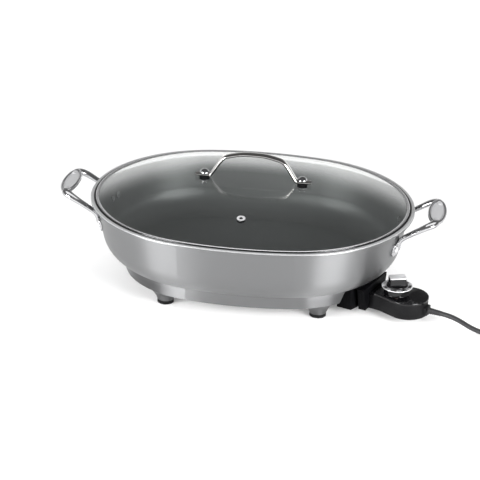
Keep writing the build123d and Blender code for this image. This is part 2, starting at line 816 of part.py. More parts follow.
# ---------------------------------------------------------------- temperature control
def control_plan(grow, front):
    """Plan of the control's body: a narrow neck that flares into a round end."""
    neck, radius, flare = neck_half_width + grow, round_radius + grow, radians(flare_angle)
    touch = (round_s - radius * sin(flare), radius * cos(flare))
    corner = (touch[0] - (touch[1] - neck) / tan(flare), neck)
    far = [(touch[0], touch[1]), (corner[0], corner[1]), (front, neck)]
    near = [(x, -y) for x, y in far[::-1]]
    face = make_face([Polyline(far + near), ThreePointArc(near[-1], (round_s + radius, 0), far[0])])
    bends = [v for v in face.vertices() if abs(v.X - corner[0]) < 0.01]
    return fillet(bends, neck_blend)


def slab(grow, front, bottom, top):
    return Pos(0, 0, bottom) * extrude(control_plan(grow, front), amount=top - bottom)


def body_posts():
    """Places (along, across) of the screws that hold cover and base together."""
    neck_s = flange_out + sleeve_tail + post_sleeve_gap + post_radius
    neck_t = neck_half_width - body_wall - post_wall_gap - post_radius
    diagonal = round_post_reach * cos(radians(45))
    places = []
    for side in (-1, 1):
        places.append((neck_s, side * neck_t))
        places.append((round_s + diagonal, side * diagonal))
    return places


def probe_base():
    """Lower half of the control: a tray with screw posts and the cord's outlet."""
    shape = slab(0, flange_out, body_bottom, body_seam)
    outlet = round_s + round_radius
    boss = block(outlet - 2 * body_wall, outlet + exit_boss_reach, exit_boss_half_width,
                 cord_height - exit_boss_height / 2, cord_height + exit_boss_height / 2)
    shape += fillet(boss.edges().filter_by(Axis.X), exit_boss_rounding)
    shape -= slab(-body_wall, flange_out + body_wall, body_bottom + body_floor, body_seam)
    for s, t in body_posts():
        shape += upright(post_radius, body_bottom, post_seam, s, t)
    for s, t in body_posts():
        shape -= upright(body_screw_radius + fit, 0, body_seam, s, t)
        shape -= upright(body_screw_head_radius + loose, 0, body_bottom + post_recess, s, t)
    for s in (frame_start + frame_stand_inset, frame_start + frame_length - frame_stand_inset):
        shape += upright(frame_stand_radius, body_bottom + body_floor / 2, frame_level, flange_out + s)
    for side in (-1, 1):
        shape -= along(sleeve_outer_radius + fit, flange_out - 1, flange_out + 2 * body_wall,
                       side * terminal_half_spacing, terminal_height)
    shape -= along(rod_radius + loose, flange_out - 1, flange_out + 2 * body_wall, 0, stem_height)
    shape -= along(relief_radius + fit, round_s, outlet + 2 * exit_boss_reach, 0, cord_height)
    return CONTROL * shape


def lens_place():
    """Place (along, across) of the indicator, beside the dial's collar."""
    reach = collar_radius + lens_collar_gap + lens_radius
    return dial_s + reach * cos(radians(lens_angle)), -reach * sin(radians(lens_angle))


def probe_cover():
    """Upper half of the control, with the collar that carries the dial."""
    shape = slab(cover_lip, flange_out, body_seam, body_top)
    shape = fillet(shape.edges().group_by(Axis.Z)[-1], cover_rounding)
    shape -= slab(-body_wall, flange_out + body_wall, body_seam, body_top - cover_roof)
    shape += upright(collar_radius, body_top - cover_roof, collar_top, dial_s)
    shape -= upright(collar_radius - collar_wall, body_seam, collar_top - collar_wall, dial_s)
    shape -= upright(shaft_radius + shaft_clearance, 0, 2 * collar_top, dial_s)
    for s, t in body_posts():
        post = upright(post_radius, post_seam, body_top - cover_roof / 2, s, t)
        hole_end = body_bottom + post_recess + body_screw_reach + screw_end_gap
        shape += post - upright(body_screw_radius + fit, post_seam, hole_end, s, t)
    s, t = lens_place()
    return CONTROL * (shape - upright(lens_radius + fit, 0, 2 * body_top, s, t))


def probe_flange():
    """Heat shield across the control's front, with the nose that enters the guard."""
    flange_top = stem_height + flange_above
    outline = Polyline([(-flange_bottom_half, body_bottom), (-flange_top_half, flange_top),
                        (flange_top_half, flange_top), (flange_bottom_half, body_bottom)], close=True)
    shape = Pos(flange_in, 0, 0) * extrude(Plane.YZ * make_face(outline), amount=flange_thickness)
    nose_bottom = guard_bottom + guard_floor + nose_bottom_gap
    nose_top = floor_underside - guard_wall - nose_top_gap
    shape += block(nose_front, flange_in, mouth_half_width - nose_side_gap, nose_bottom, nose_top)
    for side in (-1, 1):
        t = side * terminal_half_spacing
        shape -= along(sleeve_outer_radius + fit, nose_front, flange_out, t, terminal_height)
    return CONTROL * (shape - along(stem_radius + fit, nose_front, flange_out, 0, stem_height))


def contact_sleeves():
    """Spring sleeves that grip the terminal pins."""
    sleeves = []
    start, end = nose_front + sleeve_recess, flange_out + sleeve_tail
    for side in (-1, 1):
        t = side * terminal_half_spacing
        sleeve = along(sleeve_outer_radius, start, end, t, terminal_height)
        sleeve -= along(sleeve_bore_radius, start, end - sleeve_end_wall, t, terminal_height)
        sleeves.append(CONTROL * sleeve)
    return Compound(sleeves)


def sensor_stem():
    """Heat-sensing stem, with the thin rod that works the thermostat."""
    tip = nose_front - stem_reach
    tube = along(stem_radius, tip, flange_out, 0, stem_height)
    tube = fillet(tube.edges().group_by(Axis.X)[0], stem_tip_rounding)
    return CONTROL * (tube + along(rod_radius, flange_out, flange_out + rod_reach, 0, stem_height))


def probe_screws():
    screws = []
    seat = body_bottom + post_recess
    for s, t in body_posts():
        head = upright(body_screw_head_radius, seat - body_screw_head, seat, s, t)
        screws.append(CONTROL * (head + upright(body_screw_radius, seat, seat + body_screw_reach, s, t)))
    return Compound(screws)


def thermostat_frame():
    start = flange_out + frame_start
    plate = block(start, start + frame_length, frame_width / 2, frame_level, frame_level + frame_thickness)
    return CONTROL * plate


def insulator_levels():
    """Bottom and top of each block of the stack."""
    levels = []
    z = frame_level + frame_thickness
    for height in insulator_heights:
        levels.append((z, z + height))
        z += height + blade_thickness
    return levels


def thermostat_insulators():
    """Ceramic blocks that hold the contact blades apart."""
    start = flange_out + frame_start
    end = start + insulator_length
    blocks = [block(start, end, blade_width / 2, low, high) for low, high in insulator_levels()]
    return Compound([CONTROL * one for one in blocks])


def thermostat_blades():
    """Two spring blades with facing contacts, the upper one worked by the dial's shaft."""
    start = flange_out + frame_start
    levels = insulator_levels()
    tip = start + blade_length - contact_inset
    lower = block(start, start + blade_length, blade_width / 2, levels[0][1], levels[1][0])
    upper = block(start, start + blade_length, blade_width / 2, levels[1][1], levels[2][0])
    lower += upright(contact_radius, levels[1][0], levels[1][0] + contact_height, tip)
    upper += upright(contact_radius, levels[1][1] - contact_height, levels[1][1], tip)
    return Compound([CONTROL * lower, CONTROL * upper])


def indicator_lens():
    s, t = lens_place()
    lens = upright(lens_radius, body_top - cover_roof, body_top + lens_proud, s, t)
    return CONTROL * fillet(lens.edges().group_by(Axis.Z)[-1], lens_proud)


def indicator_lamp():
    s, t = lens_place()
    top = body_top - cover_roof - loose
    return CONTROL * upright(lamp_radius, top - lamp_length, top, s, t)


def strain_relief():
    """Rubber boot in the cord's outlet, with a collar inside the wall and a taper along the cord."""
    collar = relief_radius + relief_collar
    seat = round_s + sqrt((round_radius - body_wall)**2 - collar**2) - loose
    mouth = round_s + round_radius + exit_boss_reach
    boot = along(relief_radius, seat, mouth, 0, cord_height)
    boot += along(collar, seat - relief_inside, seat, 0, cord_height)
    taper = Cone(relief_radius, relief_tip_radius, relief_end - mouth,
                 align=(Align.CENTER, Align.CENTER, Align.MIN))
    return CONTROL * (boot + Pos(mouth, 0, cord_height) * Rot(0, 90, 0) * taper)


# ---------------------------------------------------------------- dial
def dial_shaft():
    """Shaft from just above the upper blade to the top of the knob's socket."""
    bottom = insulator_levels()[-1][0] + loose
    return CONTROL * upright(shaft_radius, bottom, knob_socket_top(), dial_s)


def knob_socket_top():
    return dial_z + dial_ring_thickness + knob_socket_depth


def dial_ring():
    """Thin disc that carries the scale."""
    disc = upright(dial_ring_radius, dial_z, dial_z + dial_ring_thickness, dial_s)
    disc = fillet(disc.edges().group_by(Axis.Z)[-1], ring_rounding)
    return CONTROL * (disc - upright(shaft_radius + fit, dial_z, dial_z + dial_ring_thickness, dial_s))


def ridge(height):
    """Straight block that the fingers hold, standing on Z = 0."""
    block_plan = RectangleRounded(grip_block_length, grip_block_width, ridge_corner)
    return Rot(0, 0, grip_block_turn + probe_angle) * extrude(block_plan, amount=height)


def dial_knob():
    """Round base with a straight ridge to turn it by."""
    low = dial_z + dial_ring_thickness
    base = upright(knob_base_radius, low, low + knob_base_height)
    base = fillet(base.edges().group_by(Axis.Z)[-1], knob_rounding)
    shape = base + Pos(0, 0, low) * ridge(knob_base_height + grip_block_height)
    shape -= upright(shaft_radius + fit, low, knob_socket_top())
    return CONTROL * Pos(dial_s, 0, 0) * shape


def dial_cap():
    """Bright plate on top of the ridge."""
    low = dial_z + dial_ring_thickness + knob_base_height + grip_block_height
    plate = ridge(knob_cap_height)
    plate = fillet(plate.edges().group_by(Axis.Z)[-1], cap_rounding)
    return CONTROL * Pos(dial_s, 0, low) * plate


# ---------------------------------------------------------------- cord and plug
def route():
    lead = [control_point(s, 0, cord_height) for s in (relief_end, relief_end + cord_lead)]
    return lead + cord_route


def bend_radii(points):
    """The largest arc that each corner of the route has room for."""
    radii = []
    for before, here, after in zip(points, points[1:], points[2:]):
        first, second = Vector(*here) - Vector(*before), Vector(*after) - Vector(*here)
        half_turn = radians(first.get_angle(second)) / 2
        radii.append(run_share * min(first.length, second.length) / tan(half_turn))
    return radii


def power_cord():
    points = route()
    radii = bend_radii(points)
    print("cord bend radii", [round(r, 1) for r in radii])
    path = FilletPolyline(points, radius=radii)
    tube = sweep(Plane(origin=path @ 0, z_dir=path % 0) * Circle(cord_radius), path=path)
    swept = path.length * pi * cord_radius**2
    print("cord length %.1f, volume %.1f of %.1f" % (path.length, tube.volume, swept))
    return tube


def coil_centre():
    """Centre of the coil: the cord runs in along +X at its near side."""
    x, y, z = cord_route[-1]
    return x + coil_stub(), y + coil_outer_turn(), z


def coil_stub():
    """Straight cord that leads into the coil, long enough to start clear of its turns."""
    return sqrt(coil_outer_radius()**2 - (coil_outer_turn() - cord_radius)**2) + cord_radius / 2


def coil_outer_radius():
    return coil_outer_turn() + cord_radius + coil_slack


def coil_outer_turn():
    return coil_inner_turn + 2 * cord_radius


def coil_frame():
    """Frame at the coil's centre, on the level of its lowest turn."""
    return Location(coil_centre())


def cord_coil():
    """Outer shape of the wound cord, with its two straight ends."""
    inner, outer, stub = coil_inner_turn - cord_radius - coil_slack, coil_outer_radius(), coil_stub()
    height = 2 * cord_radius * coil_layers + 2 * coil_slack
    middle = cord_radius * (coil_layers - 1)
    ring = revolve(Plane.XZ * Pos((inner + outer) / 2, middle) * RectangleRounded(
        outer - inner, height, coil_rounding), Axis.Z)
    lead_in = Pos(-stub / 2, -coil_outer_turn(), 0) * Rot(0, 90, 0) * Cylinder(cord_radius, stub)
    lead_out = Rot(90, 0, 0) * Cylinder(cord_radius, plug_lead)
    lead_out = Pos(coil_outer_turn(), plug_lead / 2, 2 * middle) * lead_out
    return coil_frame() * (ring + lead_in + lead_out)


def cord_tie():
    """Strap wound once round the coil's turns."""
    across = coil_outer_turn() - coil_inner_turn + 2 * (cord_radius + coil_slack + loose)
    high = 2 * (cord_radius * coil_layers + coil_slack + loose)
    middle = (coil_inner_turn + coil_outer_turn()) / 2
    ring = Rectangle(across + 2 * tie_thickness, high + 2 * tie_thickness) - Rectangle(across, high)
    section_plane = Plane.XZ * Pos(middle, cord_radius * (coil_layers - 1))
    strap = revolve(section_plane * ring, Axis.Z, degrees(tie_width / middle))
    return coil_frame() * Rot(0, 0, tie_angle) * strap


def plug_frame():
    """Frame at the cord's far end, X out along the plug."""
    top_layer = 2 * cord_radius * (coil_layers - 1)
    return coil_frame() * Location((coil_outer_turn(), plug_lead, top_layer), (0, 0, 90))


def plug_body():
    """Moulded plug with a tapered boot."""
    boot = Rot(0, 90, 0) * Cone(plug_boot_radius, plug_boot_root_radius, plug_boot_length,
                                align=(Align.CENTER, Align.CENTER, Align.MIN))
    shell = Pos(plug_boot_length + plug_length / 2, 0, 0) * Box(plug_length, plug_width, plug_height)
    shell = fillet(shell.edges().filter_by(Axis.X), plug_rounding)
    return plug_frame() * (boot + shell)


def plug_blades():
    blades = []
    for side in (-1, 1):
        place = Pos(plug_boot_length + plug_length + plug_blade_length / 2, side * blade_pitch / 2, 0)
        blades.append(plug_frame() * place * Box(plug_blade_length, plug_blade_thickness, plug_blade_width))
    return Compound(blades)


# ---------------------------------------------------------------- build and write
def build():
    right = side_handle()
    nodes = {
        "pan": pan(),
        "left_handle": mirrored(right),
        "right_handle": right,
        "handle_rivets": handle_rivets(),
        "foot_screws": foot_screws(),
        "heating_element": heating_element(),
        "terminal_pins": terminal_pins(),
        "terminal_beads": terminal_beads(),
        "terminal_guard": terminal_guard(),
        "guard_screws": guard_screws(),
        "lid_glass": lid_glass(),
        "lid_rim": lid_rim(),
        "lid_handle": lid_handle(),
        "lid_upper_washers": lid_washers(dome_top()),
        "lid_lower_washers": lid_washers(lower_washer_top() - washer_thickness),
        "lid_screws": lid_screws(),
        "lid_cap_nuts": lid_cap_nuts(),
        "vent_grommet": vent_grommet(),
        "probe_base": probe_base(),
        "probe_cover": probe_cover(),
        "probe_flange": probe_flange(),
        "contact_sleeves": contact_sleeves(),
        "sensor_stem": sensor_stem(),
        "probe_screws": probe_screws(),
        "thermostat_frame": thermostat_frame(),
        "thermostat_insulators": thermostat_insulators(),
        "thermostat_blades": thermostat_blades(),
        "indicator_lens": indicator_lens(),
        "indicator_lamp": indicator_lamp(),
        "strain_relief": strain_relief(),
        "dial_shaft": dial_shaft(),
        "dial_ring": dial_ring(),
        "dial_knob": dial_knob(),
        "dial_cap": dial_cap(),
        "power_cord": power_cord(),
        "cord_coil": cord_coil(),
        "cord_tie": cord_tie(),
        "plug_body": plug_body(),
        "plug_blades": plug_blades(),
    }
    for (x, y), name in zip(legs(), ("front_left", "back_left", "front_right", "back_right")):
        nodes["foot_" + name] = foot(x, y)
    return nodes


os.makedirs("parts", exist_ok=True)
for name, shape in build().items():
    export_step(shape, "parts/%s.step" % name)
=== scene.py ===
from math import asin, cos, pi, radians, sin

import bmesh
import bpy
from mathutils import Matrix, Quaternion, Vector


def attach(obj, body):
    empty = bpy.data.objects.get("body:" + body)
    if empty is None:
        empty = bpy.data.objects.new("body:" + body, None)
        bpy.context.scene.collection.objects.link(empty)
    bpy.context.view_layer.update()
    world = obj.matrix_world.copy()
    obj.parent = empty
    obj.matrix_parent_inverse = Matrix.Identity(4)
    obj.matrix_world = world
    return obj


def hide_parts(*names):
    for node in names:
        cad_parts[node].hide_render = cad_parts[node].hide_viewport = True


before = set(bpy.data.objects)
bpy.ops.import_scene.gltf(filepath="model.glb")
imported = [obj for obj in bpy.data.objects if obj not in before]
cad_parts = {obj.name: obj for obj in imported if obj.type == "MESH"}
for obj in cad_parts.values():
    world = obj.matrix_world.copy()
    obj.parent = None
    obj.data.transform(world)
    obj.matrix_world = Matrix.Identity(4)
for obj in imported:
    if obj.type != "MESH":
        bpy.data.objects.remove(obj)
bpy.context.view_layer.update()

# ---------------------------------------------------------------- the studio
# A white table top under soft light, seen from the front and a little above.
# Two low softboxes stand left and right of the camera, and a wide one hangs overhead.
view_azimuth = radians(7.72)
view_elevation = radians(24.0)
view_roll = radians(1.85)
view_distance = 3.06906
view_target = Vector((-0.01362, -0.00377, 0.060))
lens_length = 185.7
film_width = 36.0
lamp_target = Vector((0, 0, 0.08))
surround_level = 0.42
ceiling_level = 0.13
horizon_height = 0.12
ceiling_height = 0.44
table_size = 24.0
near_glow = 0.18
near_reach = 0.5
far_reach = 2.0


def deselect():
    bpy.ops.object.select_all(action="DESELECT")


def direction(azimuth, elevation):
    """Unit vector from the table's middle: azimuth 0 is straight to the front, positive to the right."""
    return Vector((sin(azimuth) * cos(elevation), -cos(azimuth) * cos(elevation), sin(elevation)))


def softbox(name, azimuth, elevation, distance, width, height, watts):
    """Area lamp of that size, facing the middle of the pan."""
    away = direction(radians(azimuth), radians(elevation))
    bpy.ops.object.light_add(type="AREA", location=lamp_target + away * distance)
    lamp = bpy.context.object
    lamp.name = name
    lamp.rotation_mode = "QUATERNION"
    lamp.rotation_quaternion = (-away).to_track_quat("-Z", "Y")
    lamp.data.shape = "RECTANGLE"
    lamp.data.size = width
    lamp.data.size_y = height
    lamp.data.energy = watts
    lamp.light_linking.receiver_collection = bpy.data.collections.new(name + "_screen")
    return lamp


def feed(node, inputs):
    """Give a node's inputs plain values, or the outputs of other nodes."""
    for socket, value in inputs.items():
        if isinstance(value, bpy.types.NodeSocket):
            node.id_data.links.new(value, node.inputs[socket])
        else:
            node.inputs[socket].default_value = value


def added(tree, kind, output=0, inputs=None, **settings):
    """Add a node with these settings and inputs, and give one of its outputs."""
    node = tree.nodes.new("ShaderNode" + kind)
    for key, value in settings.items():
        setattr(node, key, value)
    feed(node, inputs or {})
    return node.outputs[output]


def maths(tree, operation, first, second=0):
    """Output of a Math node; each input is another output or a plain number."""
    return added(tree, "Math", 0, {0: first, 1: second}, operation=operation)


def ranged(tree, value, low, high, start=0.0, end=1.0, interpolation="LINEAR"):
    """Output that goes from low to high while the value goes from start to end."""
    limits = {"From Min": start, "From Max": end, "To Min": low, "To Max": high}
    return added(tree, "MapRange", "Result", {"Value": value, **limits}, interpolation_type=interpolation)


def axis_parts(tree, output):
    """X, Y and Z outputs of a vector."""
    return added(tree, "SeparateXYZ", 0, {0: output}).node.outputs


def seen_directly(tree):
    """1 for rays from the camera and for those that metal or glass sends on, else 0."""
    rays = added(tree, "LightPath").node.outputs
    sent_on = maths(tree, "MAXIMUM", rays["Is Glossy Ray"], rays["Is Transmission Ray"])
    return maths(tree, "MAXIMUM", rays["Is Camera Ray"], sent_on)


deselect()
towards_camera = direction(view_azimuth, view_elevation)
bpy.ops.object.camera_add(location=view_target + towards_camera * view_distance)
camera = bpy.context.object
camera.rotation_mode = "QUATERNION"
camera.rotation_quaternion = (-towards_camera).to_track_quat("-Z", "Y") @ Quaternion((0, 0, 1), view_roll)
camera.data.lens = lens_length
camera.data.sensor_width = film_width
bpy.context.scene.camera = camera
bpy.context.scene.view_settings.view_transform = "Standard"

left_softbox = softbox("left_softbox", azimuth=-44, elevation=16, distance=1.3,
                       width=0.70, height=0.40, watts=24.0)
right_softbox = softbox("right_softbox", azimuth=51, elevation=16, distance=1.3,
                        width=0.62, height=0.40, watts=24.0)
top_softbox = softbox("top_softbox", azimuth=180, elevation=72, distance=2.0,
                      width=2.0, height=1.4, watts=16.0)

surround = bpy.data.worlds.new("white_surround")
surround.use_nodes = True
bpy.context.scene.world = surround
tree = surround.node_tree
height = axis_parts(tree, added(tree, "TexCoord", "Generated"))["Z"]
backdrop = ranged(tree, height, 1.0, ceiling_level, horizon_height, ceiling_height, "SMOOTHSTEP")
brightness = ranged(tree, seen_directly(tree), surround_level, backdrop)
feed(tree.nodes["Background"], {"Color": (1, 1, 1, 1), "Strength": brightness})

bpy.ops.mesh.primitive_plane_add(size=table_size)
table_top = bpy.context.object
table_top.name = "table_top"
table_white = bpy.data.materials.new("table_white")
table_white.use_nodes = True
tree = table_white.node_tree
tree.nodes.remove(tree.nodes["Principled BSDF"])
matt_white = added(tree, "BsdfDiffuse", 0, {"Color": (0.80, 0.80, 0.80, 1)})
from_middle = added(tree, "VectorMath", "Value", {0: added(tree, "TexCoord", "Object")}, operation="LENGTH")
far_glow = ranged(tree, from_middle, near_glow, 1.0, near_reach, far_reach, "SMOOTHSTEP")
glow = added(tree, "Emission", 0, {"Strength": maths(tree, "MULTIPLY", seen_directly(tree), far_glow)})
feed(tree.nodes["Material Output"], {"Surface": added(tree, "AddShader", 0, {0: matt_white, 1: glow})})
table_top.data.materials.append(table_white)

# ---------------------------------------------------------------- power cord
# A round black PVC lead, 6 mm thick, that leaves the control, comes down to the table and is wound
# into a neat coil of two layers.  Its far end carries a moulded two-pin plug.
cord_radius = 0.003
cord_exit = Vector((0.243685, -0.072679, 0.017))
cord_lead = 0.016
cord_run = [(0.282, -0.087, 0.0076), (0.308, -0.097, 0.0044), (0.334, -0.097, 0.0044)]
coil_middle = Vector((0.35666, -0.061, 0.0044))
coil_inner_turn = 0.030
coil_outer_turn = 0.036
coil_layer = 2 * cord_radius
coil_run_in = 0.006
coil_run_out = 0.002
coil_first, coil_last = -90.0, 1080.0  # degrees along the coil, as are the ranges where it shifts
inward_angles = (195, 262)
upward_angles = (555, 618)
outward_angles = (925, 985)
points_per_turn = 24
plug_lead = 0.024
control_turn = radians(-20)


def eased(angle, start, end):
    """0 before start, 1 after end, and smooth between them."""
    share = min(1.0, max(0.0, (angle - start) / (end - start)))
    return share * share * (3 - 2 * share)


def coil_points():
    """Control points of the coil's turns, from where the cord runs in to where it leaves for the plug."""
    step = 360 / points_per_turn
    outside = 2 / (1 + cos(2 * pi / points_per_turn))  # the curve runs a little inside its control points
    points = []
    angle = coil_first + step
    while angle < coil_last - step / 2:
        inwards = eased(angle, *inward_angles) - eased(angle, *outward_angles)
        radius = (coil_outer_turn - (coil_outer_turn - coil_inner_turn) * inwards) * outside
        level = coil_layer * eased(angle, *upward_angles)
        from_middle = Vector((radius * cos(radians(angle)), radius * sin(radians(angle)), level))
        points.append(coil_middle + from_middle)
        angle += step
    return points


def nurbs_line(name, route, order, resolution):
    """Capped curve along control points of x, y, z and thickness."""
    curve = bpy.data.curves.new(name, "CURVE")
    curve.dimensions = "3D"
    curve.use_fill_caps = True
    line = curve.splines.new("NURBS")
    line.points.add(len(route) - 1)
    for (x, y, z, thickness), point in zip(route, line.points):
        point.co = (x, y, z, 1)
        point.radius = thickness
    line.order_u = order
    line.use_endpoint_u = True
    line.resolution_u = resolution
    return curve


def placed(name, data):
    """New object in the scene, active and alone in the selection."""
    piece = bpy.data.objects.new(name, data)
    bpy.context.scene.collection.objects.link(piece)
    deselect()
    piece.select_set(True)
    bpy.context.view_layer.objects.active = piece
    return piece


def new_finish(name, colour, metallic, roughness, specular=0.5):
    """Material with one Principled shader, its constants on the shader's own sockets."""
    material = bpy.data.materials.new(name)
    material.use_nodes = True
    feed(material.node_tree.nodes["Principled BSDF"], {
        "Base Color": (*colour, 1), "Metallic": metallic, "Roughness": roughness,
        "Specular IOR Level": specular})
    return material


def grained(name, colour, metallic, roughness, size, depth, specular=0.5, stretch=(1, 1, 1)):
    """Finish with fine noise of that grain size and depth in metres, as bump and as uneven gloss."""
    material = new_finish(name, colour, metallic, sum(roughness) / 2, specular)
    tree = material.node_tree
    scaled = added(tree, "Mapping", "Vector", {
        "Vector": added(tree, "TexCoord", "Object"), "Scale": [one / size for one in stretch]})
    noise = added(tree, "TexNoise", "Fac", {"Vector": scaled, "Scale": 1.0, "Detail": 3.0})
    bump = added(tree, "Bump", "Normal", {"Height": noise, "Strength": 0.6, "Distance": depth})
    feed(tree.nodes["Principled BSDF"], {"Normal": bump, "Roughness": ranged(tree, noise, *roughness)})
    return material


coil_end = coil_middle + Vector((coil_outer_turn, 0, coil_layer))
cord_points = [cord_exit, cord_exit + Matrix.Rotation(control_turn, 3, "Z") @ Vector((cord_lead, 0, 0))]
cord_points += cord_run + [coil_middle + Vector((-coil_run_in, -coil_outer_turn, 0))] + coil_points()
cord_points += [coil_end + Vector((0, ahead, 0)) for ahead in (coil_run_out, plug_lead / 2, plug_lead)]
cord_curve = nurbs_line("power_cord_line", [(*point, 1) for point in cord_points], order=3, resolution=6)
cord_curve.bevel_depth = cord_radius
cord_curve.bevel_resolution = 5
supply_cord = placed("supply_cord", cord_curve)
cord_black = grained("cord_black", (0.014, 0.014, 0.015), 0.0, (0.34, 0.50), 0.0006, 0.00003)
supply_cord.data.materials.append(cord_black)
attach(supply_cord, "control")
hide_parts("power_cord", "cord_coil")

# ---------------------------------------------------------------- strain relief
# A soft moulded sleeve where the cord leaves the control.  It has a shoulder against the housing, then
# tapers along the cord, with shallow rings that let it bend.
sleeve_start = 0.1953
sleeve_end = 0.2125
sleeve_level = 0.017
sleeve_root_radius = 0.0040
sleeve_tip_radius = 0.0034
sleeve_inside = 0.008
sleeve_tip = 0.0012
sleeve_rings = 6
ring_depth = 0.0004
tip_edge = (0.0004, 0.0003)
shoulder_shape = ((0.0002, 0.0008), (0.0016, 0.0008), (0.0019, 0))
ring_shape = ((0.30, 0), (0.42, ring_depth), (0.88, ring_depth), (1, 0))
turned_sides = 48
control_place = Matrix.Translation((0.044, 0, 0)) @ Matrix.Rotation(control_turn, 4, "Z")


def settle(piece, place=None):
    """Apply the piece's transform, or this one, to its mesh."""
    if place:
        piece.matrix_world = place
    bpy.ops.object.transform_apply(location=True, rotation=True, scale=True)


def turned(steps):
    """Round piece along +X in edit mode: a disc, extruded through (place, radius) steps."""
    deselect()
    x, radius = steps[0]
    bpy.ops.mesh.primitive_circle_add(vertices=turned_sides, radius=radius, fill_type="NGON",
                                      location=(x, 0, 0), rotation=(0, pi / 2, 0))
    settle(bpy.context.object)
    bpy.ops.object.mode_set(mode="EDIT")
    bpy.ops.mesh.select_all(action="SELECT")
    for next_x, next_radius in steps[1:]:
        bpy.ops.mesh.extrude_region_move(TRANSFORM_OT_translate={"value": (next_x - x, 0, 0)})
        share = next_radius / radius
        bpy.ops.transform.resize(value=(1, share, share), center_override=(next_x, 0, 0))
        x, radius = next_x, next_radius
    bpy.ops.mesh.select_all(action="SELECT")
    bpy.ops.mesh.normals_make_consistent(inside=False)
    return bpy.context.object


def finished(piece, name, material, body, slot, *nodes, place=None, smooth=35):
    """Carry the mesh to its place, dress it, and say what it rides on and which nodes it stands for."""
    if bpy.context.object.mode == "EDIT":
        bpy.ops.object.mode_set(mode="OBJECT")
    if place:
        settle(piece, place)
    bpy.ops.object.shade_smooth_by_angle(angle=radians(smooth))
    piece.name = name
    piece.data.name = name
    piece.data.materials.clear()
    piece.data.materials.append(material)
    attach(piece, body)
    if nodes:
        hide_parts(*nodes)
    return piece


steps = [(sleeve_start - sleeve_inside, sleeve_root_radius), (sleeve_start, sleeve_root_radius)]
steps += [(sleeve_start + along, sleeve_root_radius + out) for along, out in shoulder_shape]
pitch = (sleeve_end - sleeve_tip - steps[-1][0]) / sleeve_rings
for ring in range(sleeve_rings):
    x = steps[-1][0]
    radius = sleeve_root_radius - (sleeve_root_radius - sleeve_tip_radius) * (ring + 1) / sleeve_rings
    steps += [(x + share * pitch, radius - depth) for share, depth in ring_shape]
steps += [(sleeve_end - tip_edge[0], sleeve_tip_radius), (sleeve_end, sleeve_tip_radius - tip_edge[1])]
rubber = grained("soft_black_rubber", (0.016, 0.016, 0.017), 0.0, (0.5, 0.7), 0.0005, 0.00003,
                 specular=0.35)
strain_sleeve = turned(steps)
finished(strain_sleeve, "strain_sleeve", rubber, "control", "black_rubber", "strain_relief",
         place=control_place @ Matrix.Translation((0, 0, sleeve_level)), smooth=50)

# ---------------------------------------------------------------- mains plug and cord tie
# The plug is a PVC body moulded over the cord's end, waisted for the fingers, with a ringed boot and two
# folded brass blades that have a hole each.  A strap of rubber holds the coil's turns together.
plug_place = Matrix.Translation(coil_end + Vector((0, plug_lead, 0))) @ Matrix.Rotation(pi / 2, 4, "Z")
plug_length = 0.030
plug_width = 0.024
plug_height = 0.020
plug_corner = 0.0045
plug_edge = 0.0015
waist_reach = 0.0002
plug_waist = {-0.009: 1.0, -0.006: 0.93, -0.003: 0.86, 0.0: 0.83, 0.003: 0.86, 0.006: 0.93, 0.009: 1.0}
boot_length = 0.012
boot_inside = 0.001
boot_rings = 4
boot_start, boot_pitch = 0.0006, 0.0028
boot_radius, boot_growth = 0.0046, 0.0005
boot_tip_radius = 0.0042
boot_root_radius = 0.0064
boot_shape = ((0.0014, 0.0002), (0.0018, -0.0003), (0.0025, -0.0002), (boot_pitch, boot_growth))
blade_pitch = 0.0127
blade_length = 0.0175
blade_width = 0.0063
blade_thickness = 0.0015
blade_corner = 0.0012
blade_edge = 0.0002
blade_hole = 0.0016
blade_hole_inset = 0.0045
tie_width = 0.008
tie_thickness = 0.0008
tie_inner = 0.0130
tie_corner = 0.0030
tie_edge = 0.00025
tie_middle_angle = radians(-45)


def pick(test, kind="FACE"):
    """In edit mode, select the faces, edges or vertices that the test says yes to, and nothing else."""
    bpy.ops.mesh.select_mode(type=kind)
    bpy.ops.mesh.select_all(action="DESELECT")
    mesh = bmesh.from_edit_mesh(bpy.context.object.data)
    for part in {"FACE": mesh.faces, "EDGE": mesh.edges, "VERT": mesh.verts}[kind]:
        if test(part):
            part.select_set(True)
    mesh.select_flush_mode()
    bmesh.update_edit_mesh(bpy.context.object.data)


def runs_along(edge, axis):
    """True for an edge that lies along that axis."""
    first, second = (corner.co for corner in edge.verts)
    return abs((second - first).normalized()[axis]) > 0.99


def box_at(middle, size):
    """Cube primitive of that size and place, in edit mode, with its place in its mesh."""
    deselect()
    bpy.ops.mesh.primitive_cube_add(size=1, location=middle, scale=size)
    settle(bpy.context.object)
    bpy.ops.object.mode_set(mode="EDIT")
    return bpy.context.object


def modifier(piece, kind, **settings):
    """Add a modifier with these settings and apply it."""
    one = piece.modifiers.new(kind.lower(), kind)
    for key, value in settings.items():
        setattr(one, key, value)
    bpy.ops.object.modifier_apply(modifier=one.name)


def joined(pieces):
    """Join the pieces to the first one."""
    deselect()
    for piece in pieces:
        piece.select_set(True)
    bpy.context.view_layer.objects.active = pieces[0]
    bpy.ops.object.join()
    return pieces[0]


